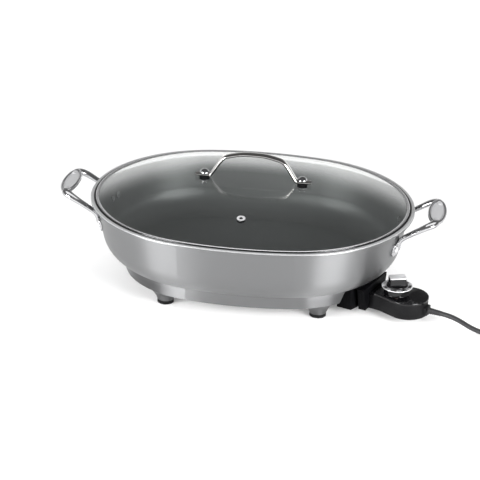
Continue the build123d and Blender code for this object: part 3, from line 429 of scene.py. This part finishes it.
boot_steps = [(0, boot_tip_radius), (boot_start, boot_radius)]
for ring in range(boot_rings):
    x, radius = boot_start + ring * boot_pitch, boot_radius + ring * boot_growth
    boot_steps += [(x + along, radius + out) for along, out in boot_shape]
boot_steps += [(boot_length + boot_inside, boot_root_radius)]
plug_boot = turned(boot_steps)
bpy.ops.object.mode_set(mode="OBJECT")
plug_middle = boot_length + plug_length / 2
plug_body = box_at((plug_middle, 0, 0), (plug_length, plug_width, plug_height))
pick(lambda edge: runs_along(edge, 0), "EDGE")
bpy.ops.mesh.bevel(offset=plug_corner, segments=6)
for step in plug_waist:
    bpy.ops.mesh.select_all(action="SELECT")
    bpy.ops.mesh.bisect(plane_co=(plug_middle + step, 0, 0), plane_no=(1, 0, 0))
for step, share in plug_waist.items():
    pick(lambda corner: abs(corner.co.x - plug_middle - step) < waist_reach, "VERT")
    bpy.ops.transform.resize(value=(1, 1, share), center_override=(plug_middle + step, 0, 0))
pick(lambda face: abs(face.normal.x) > 0.99)
bpy.ops.mesh.bevel(offset=plug_edge, segments=3)
bpy.ops.object.mode_set(mode="OBJECT")
moulded_pvc = grained("moulded_pvc", (0.018, 0.018, 0.019), 0.0, (0.42, 0.56), 0.0006, 0.00004)
moulded_plug = finished(joined([plug_body, plug_boot]), "moulded_plug", moulded_pvc, "control",
                        "cord_sheath", "plug_body", place=plug_place, smooth=40)

blade_start = boot_length + plug_length
brass = grained("brass", (0.70, 0.56, 0.30), 1.0, (0.2, 0.32), 0.0008, 0.00001)
blades = []
for side in (-1, 1):
    y = side * blade_pitch / 2
    blade = box_at((blade_start + blade_length / 2, y, 0), (blade_length, blade_thickness, blade_width))
    pick(lambda edge: runs_along(edge, 1) and edge.verts[0].co.x > blade_start + blade_length / 2, "EDGE")
    bpy.ops.mesh.bevel(offset=blade_corner, segments=3)
    bpy.ops.object.mode_set(mode="OBJECT")
    bpy.ops.mesh.primitive_cylinder_add(vertices=24, radius=blade_hole, depth=4 * blade_thickness,
                                        location=(blade_start + blade_length - blade_hole_inset, y, 0),
                                        rotation=(pi / 2, 0, 0))
    drill = bpy.context.object
    bpy.context.view_layer.objects.active = blade
    modifier(blade, "BOOLEAN", operation="DIFFERENCE", object=drill)
    bpy.data.objects.remove(drill)
    modifier(blade, "BEVEL", width=blade_edge, segments=2)
    blades.append(blade)
plug_prongs = finished(joined(blades), "plug_prongs", brass, "control", "contact_metal", "plug_blades",
                       place=plug_place)

tie_radius = (coil_inner_turn + coil_outer_turn) / 2
tie_outer = tie_inner + 2 * tie_thickness
coil_tie = box_at((0, 0, 0), (tie_outer, tie_width, tie_outer))
pick(lambda face: abs(face.normal.y) > 0.99)
bpy.ops.mesh.delete(type="FACE")
pick(lambda edge: runs_along(edge, 1), "EDGE")
bpy.ops.mesh.bevel(offset=tie_corner, segments=5)
bpy.ops.object.mode_set(mode="OBJECT")
modifier(coil_tie, "SOLIDIFY", thickness=tie_thickness, offset=-1)
modifier(coil_tie, "BEVEL", width=tie_edge, segments=2)
tie_turn = Matrix.Rotation(tie_middle_angle, 4, "Z") @ Matrix.Translation((tie_radius, 0, coil_layer / 2))
finished(coil_tie, "coil_tie", rubber, "control", "black_rubber", "cord_tie",
         place=Matrix.Translation(coil_middle) @ tie_turn)

# ---------------------------------------------------------------- pan
# One aluminium casting: bowl, skirt and four legs.  Outside it has a satin metallic coat with a fine
# grain that runs round the pan; painted shade darkens the legs low down.  Inside it is coated dark grey
# against sticking.  The lip's upward faces are painted lighter as painted light, and the lid's seat inside
# the lip is painted dark as painted shadow.
floor_level = 0.0405
ledge_level = 0.1123
seat_low = 0.1110
seat_high = 0.11392
seat_shade_inset = 0.0039
outward_limit = 0.001
lip_slope = 0.25
well_slope = 0.05
leg_middle = (0.1006, 0.0725)
leg_spread = (0.022, 0.052)
leg_rise = (0.030, 0.046)
end_centre = 0.044
side_centre = 0.240
side_radius = 0.400
end_radius = 0.156


def product(tree, first, *others):
    """Product of outputs; for shares of 0 or 1, it is 1 where all are."""
    for other in others:
        first = maths(tree, "MULTIPLY", first, other)
    return first


def length_squared(tree, *parts):
    """Sum of the squares of two outputs."""
    return maths(tree, "ADD", *(maths(tree, "MULTIPLY", part, part) for part in parts))


def lip_inset(tree):
    """How far inside the lip's outer edge a point lies, in metres, from the oval's end and side arcs."""
    x, y, _ = axis_parts(tree, added(tree, "TexCoord", "Object"))
    x, y = maths(tree, "ABSOLUTE", x), maths(tree, "ABSOLUTE", y)
    past_end = maths(tree, "SUBTRACT", x, end_centre)
    past_side = maths(tree, "ADD", y, side_centre)
    from_end, from_side = (
        maths(tree, "SUBTRACT", radius, maths(tree, "SQRT", length_squared(tree, *parts)))
        for radius, parts in ((end_radius, (past_end, y)), (side_radius, (x, past_side))))
    at_end = maths(tree, "GREATER_THAN", past_end, maths(tree, "MULTIPLY", y, end_centre / side_centre))
    return maths(tree, "ADD", from_side, product(tree, at_end, maths(tree, "SUBTRACT", from_end, from_side)))


def recoloured(material, share, colour):
    """Mix that share of another colour into the base colour."""
    shader = material.node_tree.nodes["Principled BSDF"]
    base = shader.inputs["Base Color"].default_value[:]
    mixed = added(material.node_tree, "Mix", "Result", {"Factor": share, "A": base, "B": (*colour, 1)},
                  data_type="RGBA")
    feed(shader, {"Base Color": mixed})


def paint(material, *names):
    """Give CAD nodes a material in place of their plain one."""
    for name in names:
        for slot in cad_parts[name].material_slots:
            slot.material = material


pan_finish = new_finish("pan_finish", (0.205, 0.207, 0.210), 0.93, 0.36)
tree = pan_finish.node_tree
place = added(tree, "TexCoord", "Object")
facing = added(tree, "TexCoord", "Normal")
x, y, level = axis_parts(tree, place)
slope = axis_parts(tree, facing)["Z"]
tangent = added(tree, "Tangent", 0, direction_type="RADIAL", axis="Z")
flakes = added(tree, "TexNoise", "Fac", {"Vector": place, "Scale": 900.0, "Detail": 2.0})
flaked = added(tree, "Bump", "Normal", {"Height": flakes, "Strength": 0.2, "Distance": 0.00001})
outside = tree.nodes["Principled BSDF"]
feed(outside, {"Anisotropic": 0.95, "Anisotropic Rotation": 0.25, "Tangent": tangent, "Normal": flaked})
# Painted shade: the outside's base colour darkens near the legs and low down, standing in for the shade under
# the belly.
from_leg = [maths(tree, "SUBTRACT", maths(tree, "ABSOLUTE", part), middle)
            for part, middle in zip((x, y), leg_middle)]
leg_distance = maths(tree, "SQRT", length_squared(tree, *from_leg))
near_leg = ranged(tree, leg_distance, 1.0, 0.0, *leg_spread, "SMOOTHSTEP")
low_down = ranged(tree, level, 1.0, 0.0, *leg_rise, "SMOOTHSTEP")
recoloured(pan_finish, product(tree, near_leg, low_down), (0.115, 0.116, 0.118))
inside = added(tree, "BsdfPrincipled", 0, {
    "Base Color": (0.095, 0.096, 0.098, 1), "Metallic": 0.35, "Roughness": 0.36, "Coat Weight": 0.2,
    "Coat Roughness": 0.15})
# Painted light: the lip's upward faces get a lighter, less metallic coat, standing in for the light they
# catch from above.
lip = added(tree, "BsdfPrincipled", 0, {
    "Base Color": (0.42, 0.424, 0.428, 1), "Metallic": 0.40, "Roughness": 0.34})
# Painted shadow: near black for the lid's seat and the inner edge of the lip's top, where the gap under the
# lid is in shade.
painted_seat_shadow = added(tree, "BsdfPrincipled", 0, {"Base Color": (0.012, 0.012, 0.013, 1), "Roughness": 0.5})

over_ledge = maths(tree, "GREATER_THAN", level, ledge_level)
painted_lip_light = product(tree, over_ledge, maths(tree, "GREATER_THAN", slope, lip_slope))
in_well = product(tree, maths(tree, "GREATER_THAN", slope, well_slope),
                  maths(tree, "GREATER_THAN", level, floor_level),
                  maths(tree, "LESS_THAN", level, ledge_level))
from_axis = added(tree, "VectorMath", 0, {0: place, 1: (1, 1, 0)}, operation="MULTIPLY")
turned_out = added(tree, "VectorMath", "Value", {0: from_axis, 1: facing}, operation="DOT_PRODUCT")
# Where the painted seat shadow goes: inward faces at the seat's height, and the lip's top inside its inset.
at_seat = product(tree, maths(tree, "GREATER_THAN", level, seat_low),
                  maths(tree, "LESS_THAN", level, seat_high),
                  maths(tree, "LESS_THAN", turned_out, outward_limit))
inner_lip = product(tree, maths(tree, "GREATER_THAN", lip_inset(tree), seat_shade_inset), over_ledge)
seat_shade = maths(tree, "MAXIMUM", at_seat, inner_lip)
surface = outside.outputs[0]
for share, coat in ((painted_lip_light, lip), (in_well, inside), (seat_shade, painted_seat_shadow)):
    surface = added(tree, "MixShader", 0, {0: share, 1: surface, 2: coat})
feed(tree.nodes["Material Output"], {"Surface": surface})
paint(pan_finish, "pan")

# ---------------------------------------------------------------- feet
# Four black rubber feet, each a moulded puck with a recess in its underside.  A plain steel screw runs up
# through each foot and holds it to its leg.


def two_tone(material, colour, size):
    """Let the base colour drift towards another one, in soft patches of that size in metres."""
    tree = material.node_tree
    patches = added(tree, "TexNoise", "Fac", {
        "Vector": added(tree, "TexCoord", "Object"), "Scale": 1 / size, "Detail": 2.0})
    recoloured(material, patches, colour)


foot_rubber = grained("foot_rubber", (0.004, 0.004, 0.0045), 0.0, (0.5, 0.7), 0.0005, 0.00003,
                      specular=0.15)
paint(foot_rubber, "foot_front_left", "foot_front_right", "foot_back_left", "foot_back_right")
zinc = grained("zinc_plate", (0.60, 0.60, 0.61), 1.0, (0.24, 0.38), 0.0010, 0.00001)
two_tone(zinc, (0.50, 0.51, 0.53), 0.004)
paint(zinc, "foot_screws")

# ---------------------------------------------------------------- side handles
# Each handle is one zinc casting, polished and chromed: two pads that follow the pan's wall, two arms, and
# an oval grip plate with a raised edge round a bare satin oval.  Four steel rivets hold it.
wall_lean = radians(11.3)
handle_angle = radians(16)
pad_level = 0.0845
pad_reach = 0.143985
pad_width = 0.027
pad_tall = 0.017
pad_thickness = 0.0026
pad_corner = 0.005
pad_cuts = 12
grip_place = Vector((0.228, 0, 0.1206))
grip_tilt = radians(10)
grip_half_width = 0.0115
grip_half_length = 0.036
grip_thickness = 0.0046
grip_edge = 0.0015
rim_width = 0.0028
oval_slope = 0.0006
oval_depth = 0.0012
large_face = 0.0005
arm_half_width = 0.0046
arm_half_thickness = 0.0030
arm_route = [(0.1844, 0.0395, 0.0820, 0.9), (0.1852, 0.0398, 0.0870, 0.95), (0.1862, 0.0402, 0.0950, 1.0),
             (0.1950, 0.0402, 0.1006, 1.0), (0.2070, 0.0402, 0.1078, 1.1), (0.2180, 0.0398, 0.1144, 1.3),
             (0.2262, 0.0366, 0.1172, 1.35), (0.2285, 0.0300, 0.1178, 1.1), (0.2285, 0.0220, 0.1178, 0.8)]
cast_voxel = 0.00045
wall_inset = 0.013
plate_chrome = (0.44, 0.44, 0.45)
painted_groove_shade = (0.10, 0.10, 0.105)


def sink_top(rim, slope, depth):
    """In edit mode, sink the large top face inside a rim, down a slope of that width."""
    pick(lambda face: face.normal.z > 0.99 and face.calc_area() > large_face)
    bpy.ops.mesh.inset(thickness=rim, depth=0)
    bpy.ops.mesh.inset(thickness=slope, depth=-depth)


def swept(name, route, half_width, half_thickness):
    """Mesh of an oval section that is carried along control points of x, y, z and thickness."""
    deselect()
    bpy.ops.curve.primitive_bezier_circle_add(radius=1)
    section = bpy.context.object
    for point in section.data.splines[0].bezier_points:
        for handle in (point.handle_left, point.co, point.handle_right):
            handle.x *= half_width
            handle.y *= half_thickness
    curve = nurbs_line(name, route, order=4, resolution=10)
    curve.twist_mode = "Z_UP"
    curve.bevel_mode = "OBJECT"
    curve.bevel_object = section
    piece = placed(name, curve)
    bpy.ops.object.convert(target="MESH")
    bpy.data.objects.remove(section)
    return piece


def merge(distance):
    """Merge the active mesh's corners that lie that close, and turn its faces outwards."""
    bpy.ops.object.mode_set(mode="EDIT")
    bpy.ops.mesh.select_all(action="SELECT")
    bpy.ops.mesh.remove_doubles(threshold=distance)
    bpy.ops.mesh.normals_make_consistent(inside=False)
    bpy.ops.object.mode_set(mode="OBJECT")


def ramp(tree, value, first, last, stops):
    """Output of a colour ramp from the first colour to the last, with (spot, colour) stops between."""
    node = added(tree, "ValToRGB", 0, {0: value}).node
    elements = node.color_ramp.elements
    elements[0].color, elements[1].color = (*first, 1), (*last, 1)
    for spot, colour in stops:
        elements.new(spot).color = (*colour, 1)
    return node.outputs["Color"]


deselect()
bpy.ops.mesh.primitive_cylinder_add(vertices=96, radius=1, depth=grip_thickness,
                                    scale=(grip_half_width, grip_half_length, 1))
grip_plate = bpy.context.object
settle(grip_plate)
bpy.ops.object.mode_set(mode="EDIT")
pick(lambda face: abs(face.normal.z) > 0.99)
bpy.ops.mesh.bevel(offset=grip_edge, segments=4)
sink_top(rim_width - grip_edge, oval_slope, oval_depth)
bpy.ops.object.mode_set(mode="OBJECT")
settle(grip_plate, Matrix.Translation(grip_place) @ Matrix.Rotation(grip_tilt, 4, "Y")
       @ Matrix.Translation((0, 0, -grip_thickness / 2)))

castings = [grip_plate]
for side in (-1, 1):
    pad = box_at((0, 0, pad_thickness / 2), (pad_width, pad_tall, pad_thickness))
    pick(lambda edge: runs_along(edge, 2), "EDGE")
    bpy.ops.mesh.bevel(offset=pad_corner, segments=6)
    for step in range(1 - pad_cuts // 2, pad_cuts // 2):
        bpy.ops.mesh.select_all(action="SELECT")
        bpy.ops.mesh.bisect(plane_co=(step * pad_width / pad_cuts, 0, 0), plane_no=(1, 0, 0))
    bpy.ops.object.mode_set(mode="OBJECT")
    # The flat pad is bent round the pan's end.
    for corner in pad.data.vertices:
        corner.co.z -= corner.co.x**2 / (2 * pad_reach)
    angle = side * handle_angle
    outwards = Vector((cos(angle) * cos(wall_lean), sin(angle) * cos(wall_lean), -sin(wall_lean)))
    across = Vector((-sin(angle), cos(angle), 0))
    turn = Matrix((across, outwards.cross(across), outwards)).transposed().to_4x4()
    pad_place = Vector((end_centre + pad_reach * cos(angle), pad_reach * sin(angle), pad_level))
    settle(pad, Matrix.Translation(pad_place) @ turn)
    arm = swept("arm", [(x, side * y, z, thickness) for x, y, z, thickness in arm_route],
                arm_half_width, arm_half_thickness)
    merge(0.00001)
    castings += [pad, arm]
joined(castings)
grip_plate.data.remesh_voxel_size = cast_voxel
bpy.ops.object.voxel_remesh()
modifier(grip_plate, "SMOOTH", factor=0.5, iterations=6)

handle_chrome = new_finish("handle_chrome", plate_chrome, 1.0, 0.08)
tree = handle_chrome.node_tree
place = added(tree, "TexCoord", "Object")
x, y, _ = axis_parts(tree, place)
from_middle = maths(tree, "SUBTRACT", maths(tree, "ABSOLUTE", x), grip_place.x)
across = maths(tree, "DIVIDE", from_middle, grip_half_width - rim_width)
along = maths(tree, "DIVIDE", y, grip_half_length - rim_width)
oval = length_squared(tree, across, along)  # 0 in the oval's middle and 1 at its edge
satin_share = ramp(tree, oval, (1, 1, 1), (0.08, 0.08, 0.08), ((0.84, (1, 1, 1)), (0.97, (0.6, 0.6, 0.6))))
# Painted shade: a dark ring in the base colour along the sunken oval's sloped edge, standing in for the shade
# of that step.
shades = ramp(tree, oval, plate_chrome, plate_chrome, (
    (0.76, plate_chrome), (0.84, painted_groove_shade), (0.94, painted_groove_shade), (0.99, plate_chrome)))
stretched = added(tree, "Mapping", "Vector", {"Vector": place, "Scale": (4000, 300, 300)})
brushed = added(tree, "TexNoise", "Fac", {"Vector": stretched, "Scale": 1.0, "Detail": 2.0})
gloss = added(tree, "Mix", "Result", {
    "Factor": satin_share, "A": 0.07, "B": ranged(tree, brushed, 0.32, 0.50)})
waves = added(tree, "TexNoise", "Fac", {"Vector": place, "Scale": 120.0})
ripple = added(tree, "Bump", "Normal", {"Height": waves, "Strength": 0.3, "Distance": 0.0001})
feed(tree.nodes["Principled BSDF"], {
    "Base Color": shades, "Roughness": gloss, "Metallic": ranged(tree, satin_share, 1.0, 0.20),
    "Normal": ripple})

right_casting = finished(grip_plate, "right_cast_handle", handle_chrome, "pan", "polished_steel",
                         "right_handle", smooth=180)
left_casting = placed("left_cast_handle", right_casting.data.copy())
bpy.ops.object.mode_set(mode="EDIT")
bpy.ops.mesh.select_all(action="SELECT")
bpy.ops.transform.resize(value=(-1, 1, 1), center_override=(0, 0, 0))
bpy.ops.mesh.normals_make_consistent(inside=False)
finished(left_casting, "left_cast_handle", handle_chrome, "pan", "polished_steel", "left_handle", smooth=180)

rivet_steel = grained("rivet_steel", (0.74, 0.74, 0.75), 0.7, (0.14, 0.24), 0.003, 0.00002)
tree = rivet_steel.node_tree
inner_head = maths(tree, "GREATER_THAN", lip_inset(tree), wall_inset)
recoloured(rivet_steel, inner_head, (0.26, 0.26, 0.265))
paint(rivet_steel, "handle_rivets")

# ---------------------------------------------------------------- heating element and its guard
# A steel sheath with the heating wire inside, bent to a loop under the floor.  Its brass pins stand in
# ceramic beads, inside an open-fronted moulded housing that two screws hold under the floor.
doubled_distance = 0.000005
flat_angle = radians(1)
sharp_angle = radians(35)


def softened(node, name, edge, material, body, slot):
    """Copy of a moulded part with its sharp edges rounded, which stands for the plain one."""
    piece = placed(name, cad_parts[node].data.copy())
    bpy.ops.object.mode_set(mode="EDIT")
    bpy.ops.mesh.select_all(action="SELECT")
    bpy.ops.mesh.remove_doubles(threshold=doubled_distance)
    bpy.ops.mesh.dissolve_limited(angle_limit=flat_angle)
    bpy.ops.object.mode_set(mode="OBJECT")
    modifier(piece, "BEVEL", width=edge, segments=3, angle_limit=sharp_angle, use_clamp_overlap=True)
    return finished(piece, name, material, body, slot, node, smooth=40)


heated_steel = grained("heated_steel", (0.34, 0.32, 0.30), 1.0, (0.34, 0.55), 0.0012, 0.00003)
two_tone(heated_steel, (0.26, 0.21, 0.19), 0.012)
paint(heated_steel, "heating_element")
paint(brass, "terminal_pins", "contact_sleeves")
ceramic = grained("white_ceramic", (0.82, 0.80, 0.75), 0.0, (0.45, 0.65), 0.0005, 0.00003)
two_tone(ceramic, (0.74, 0.71, 0.65), 0.003)
paint(ceramic, "terminal_beads")
paint(zinc, "guard_screws")
# Painted shade: a darker black than the tray's, standing in for the pan's shadow over the guard and the heat
# shield.
painted_shade_black = grained("painted_shade_black", (0.0015, 0.0015, 0.002), 0.0, (0.54, 0.68), 0.0004, 0.00002,
                      specular=0.06)
softened("terminal_guard", "moulded_guard", 0.0008, painted_shade_black, "pan", "matt_black")

# ---------------------------------------------------------------- lid
# Domed tempered glass in a folded stainless band, with a bent strap of polished steel.  Screws pass up
# through rubber washers and strap into domed nuts, and a small eyelet lets the steam out.
band_inset = 0.0058
band_width = 0.0040
band_low = 0.1120
band_high = 0.1156
band_wall = 0.0006
band_droop = 0.0006
band_shade_width = 0.0008
roll_steps = 10
end_steps = 72
side_steps = 24
tab_start = 0.0545
tab_level = 0.1431
tab_half_thickness = 0.0013
strap_half_width = 0.0049
strap_half_thickness = 0.0022
strap_line = [(0.0719, 0.1431, 0.80), (0.0640, 0.1431, 1.0), (0.0560, 0.1431, 1.0), (0.0530, 0.1431, 1.0),
              (0.0505, 0.1471, 1.0), (0.0445, 0.1565, 1.0), (0.0386, 0.1658, 1.0), (0.0335, 0.1688, 1.0),
              (0.0240, 0.1711, 1.0), (0.0130, 0.1734, 1.0), (0.0, 0.1734, 1.0)]


def screen(piece, *lamps):
    """Keep the hard-edged reflections of those softboxes off a piece."""
    for lamp in lamps:
        screened = lamp.light_linking.receiver_collection
        screened.objects.link(piece)
        screened.collection_objects[-1].light_linking.link_state = "EXCLUDE"


def rolled(radius):
    """Half circle, open towards the glass, as points of inset and height from the lower end up."""
    turns = [pi * step / roll_steps for step in range(roll_steps + 1)]
    return [(band_inset + band_roll - radius * sin(turn), band_middle - radius * cos(turn)) for turn in turns]


clear_glass = new_finish("clear_glass", (0.95, 0.97, 0.96), 0.0, 0.0)
tree = clear_glass.node_tree
glass = tree.nodes["Principled BSDF"]
feed(glass, {"Transmission Weight": 1.0, "IOR": 1.5})
clear = added(tree, "BsdfTransparent", 0, {"Color": (0.92, 0.94, 0.93, 1)})
shadow = added(tree, "LightPath", "Is Shadow Ray")
pass_light = added(tree, "MixShader", 0, {0: shadow, 1: glass.outputs[0], 2: clear})
feed(tree.nodes["Material Output"], {"Surface": pass_light})
paint(clear_glass, "lid_glass")
screen(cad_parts["lid_glass"], left_softbox, right_softbox, top_softbox)

band_roll = (band_high - band_low) / 2
band_middle = (band_low + band_high) / 2
inner_edge = band_inset + band_width
band_section = rolled(band_roll)
band_section += [(inner_edge, band_high - band_droop), (inner_edge, band_high - band_droop - band_wall)]
band_section += rolled(band_roll - band_wall)[::-1]
band_section += [(inner_edge, band_low + band_wall), (inner_edge, band_low)]
side_share = 2 * asin(end_centre / (side_radius - end_radius))
first_turn = (pi - side_share) / 2
band_profile = bmesh.new()
corners = [band_profile.verts.new((end_centre + (end_radius - inset) * cos(first_turn),
                                   -(end_radius - inset) * sin(first_turn), height))
           for inset, height in band_section]
for here, there in zip(corners, corners[1:] + corners[:1]):
    band_profile.edges.new((here, there))
band_mesh = bpy.data.meshes.new("rolled_band")
band_profile.to_mesh(band_mesh)
band_profile.free()
rolled_band = placed("rolled_band", band_mesh)
bpy.ops.object.mode_set(mode="EDIT")
bpy.ops.mesh.select_all(action="SELECT")
for x, y in ((end_centre, 0), (0, -side_centre), (-end_centre, 0), (0, side_centre)):
    share, steps = (side_share, side_steps) if y else (pi - side_share, end_steps)
    bpy.ops.mesh.spin(steps=steps, angle=share, center=(x, y, 0), axis=(0, 0, -1))
merge(0.00002)
band_steel = grained("band_steel", (0.70, 0.70, 0.71), 0.85, (0.16, 0.26), 0.0010, 0.00001)
tree = band_steel.node_tree
# Painted shade: the band's outer side, which faces the dark seat, is coloured dark in place of the dark
# reflection it shows.
band_painted_shade = maths(tree, "LESS_THAN", lip_inset(tree), band_inset + band_shade_width)
recoloured(band_steel, band_painted_shade, (0.05, 0.05, 0.052))
finished(rolled_band, "rolled_band", band_steel, "lid", "lid_band", "lid_rim", smooth=40)

strap_route = [(-x, 0, z, thickness) for x, z, thickness in strap_line]
strap_route += [(x, 0, z, thickness) for x, z, thickness in strap_line[-2::-1]]
bent_strap = swept("bent_strap", strap_route, strap_half_width, strap_half_thickness)
for corner in bent_strap.data.vertices:
    # Both ends are pressed to flat tabs for the screws.
    if abs(corner.co.x) > tab_start:
        rise = corner.co.z - tab_level
        corner.co.z = tab_level + max(-tab_half_thickness, min(tab_half_thickness, rise))
merge(0.00001)
strap_chrome = grained("strap_chrome", (0.50, 0.49, 0.48), 1.0, (0.06, 0.12), 0.006, 0.00002)
screen(bent_strap, top_softbox)
finished(bent_strap, "bent_strap", strap_chrome, "lid", "polished_steel", "lid_handle", smooth=50)
nut_chrome = grained("nut_chrome", (0.52, 0.52, 0.53), 1.0, (0.13, 0.19), 0.003, 0.00001)
paint(nut_chrome, "lid_cap_nuts", "vent_grommet")
screen(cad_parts["lid_cap_nuts"], top_softbox)
paint(zinc, "lid_screws")
washer_rubber = grained("washer_rubber", (0.004, 0.004, 0.0045), 0.0, (0.55, 0.7), 0.0005, 0.00002,
                        specular=0.12)
paint(washer_rubber, "lid_upper_washers", "lid_lower_washers")

# ---------------------------------------------------------------- temperature control
# A matt moulded tray and a gloss cover, screwed together, with a thick heat shield across the front.
# Inside are the contact sleeves, the sensing stem, the thermostat and the indicator's lamp.
moulded_black = grained("moulded_black", (0.004, 0.004, 0.0045), 0.0, (0.42, 0.56), 0.0004, 0.00002,
                        specular=0.14)
softened("probe_base", "control_tray", 0.0006, moulded_black, "control", "matt_black")
piano_black = grained("piano_black", (0.003, 0.003, 0.0035), 0.0, (0.05, 0.10), 0.012, 0.00002,
                      specular=0.4)
softened("probe_cover", "control_cover", 0.0004, piano_black, "control", "gloss_black")
# The heat shield takes the same darker black, painted shade for the pan's shadow.
softened("probe_flange", "heat_shield", 0.0012, painted_shade_black, "control", "matt_black")
paint(zinc, "probe_screws", "thermostat_frame")
stem_steel = grained("stem_steel", (0.58, 0.58, 0.58), 1.0, (0.2, 0.34), 0.0008, 0.00002,
                     stretch=(0.1, 1, 1))
paint(stem_steel, "sensor_stem", "dial_shaft")
paint(ceramic, "thermostat_insulators")
spring_brass = grained("spring_brass", (0.66, 0.50, 0.28), 1.0, (0.25, 0.38), 0.0008, 0.00001)
paint(spring_brass, "thermostat_blades")
dark_lens = grained("dark_lens", (0.009, 0.003, 0.0025), 0.0, (0.1, 0.18), 0.002, 0.00001, specular=0.3)
paint(dark_lens, "indicator_lens")
paint(clear_glass, "indicator_lamp")

# ---------------------------------------------------------------- dial
# A bright aluminium disc with printed numbers, and a gloss black knob whose straight ridge carries a bright
# plate.  All turn together on the steel shaft.
dial_axis = 0.1526
dial_level = 0.0389
dial_thickness = 0.0009
dial_radius = 0.0188
dial_rim = 0.0004
dial_edge = 0.0003
dial_slope = 0.0003
dial_depth = 0.0002
numbers = ("150", "200", "250", "300", "350", "400")
number_height = 0.0037
number_radius = 0.0157
number_weight = 0.00040
letter_scale = 1.35
first_angle = radians(228)
number_step = radians(50)
tick_length = 0.0022
tick_width = 0.0004
tick_corner = 0.00015
print_thickness = 0.00008
print_level = dial_thickness - dial_depth + print_thickness / 2

dial_place = control_place @ Matrix.Translation((dial_axis, 0, dial_level))
deselect()
bpy.ops.mesh.primitive_cylinder_add(vertices=128, radius=dial_radius, depth=dial_thickness,
                                    location=(0, 0, dial_thickness / 2))
scale_disc = bpy.context.object
settle(scale_disc)
bpy.ops.object.mode_set(mode="EDIT")
pick(lambda face: face.normal.z > 0.99)
bpy.ops.mesh.bevel(offset=dial_edge, segments=4)
sink_top(dial_rim, dial_slope, dial_depth)
dial_silver = grained("dial_silver", (0.78, 0.78, 0.79), 0.45, (0.26, 0.38), 0.0010, 0.00001)
finished(scale_disc, "scale_disc", dial_silver, "dial", "silver_trim", "dial_ring", place=dial_place)

marks = []
for count, number in enumerate(numbers):
    angle = first_angle + count * number_step
    deselect()
    bpy.ops.object.text_add()
    mark = bpy.context.object
    mark.data.body = number
    mark.data.size = number_height * letter_scale
    mark.data.offset = number_weight
    mark.data.align_x = "CENTER"
    mark.data.align_y = "CENTER"
    mark.data.extrude = print_thickness / 2
    bpy.ops.object.convert(target="MESH")
    where = Vector((number_radius * cos(angle), number_radius * sin(angle), print_level))
    settle(mark, Matrix.Translation(where) @ Matrix.Rotation(angle + pi / 2, 4, "Z"))
    marks.append(mark)
    if number != numbers[-1]:
        tick = box_at((number_radius, 0, print_level), (tick_length, tick_width, print_thickness))
        pick(lambda edge: runs_along(edge, 2), "EDGE")
        bpy.ops.mesh.bevel(offset=tick_corner, segments=2)
        bpy.ops.object.mode_set(mode="OBJECT")
        settle(tick, Matrix.Rotation(angle + number_step / 2, 4, "Z"))
        marks.append(tick)
ink = grained("black_ink", (0.02, 0.02, 0.021), 0.0, (0.45, 0.6), 0.0005, 0.000002)
finished(joined(marks), "dial_numbers", ink, "dial", "gloss_black", place=dial_place)
softened("dial_knob", "ridged_knob", 0.0005, piano_black, "dial", "gloss_black")
softened("dial_cap", "bright_cap", 0.0002, dial_silver, "dial", "silver_trim")
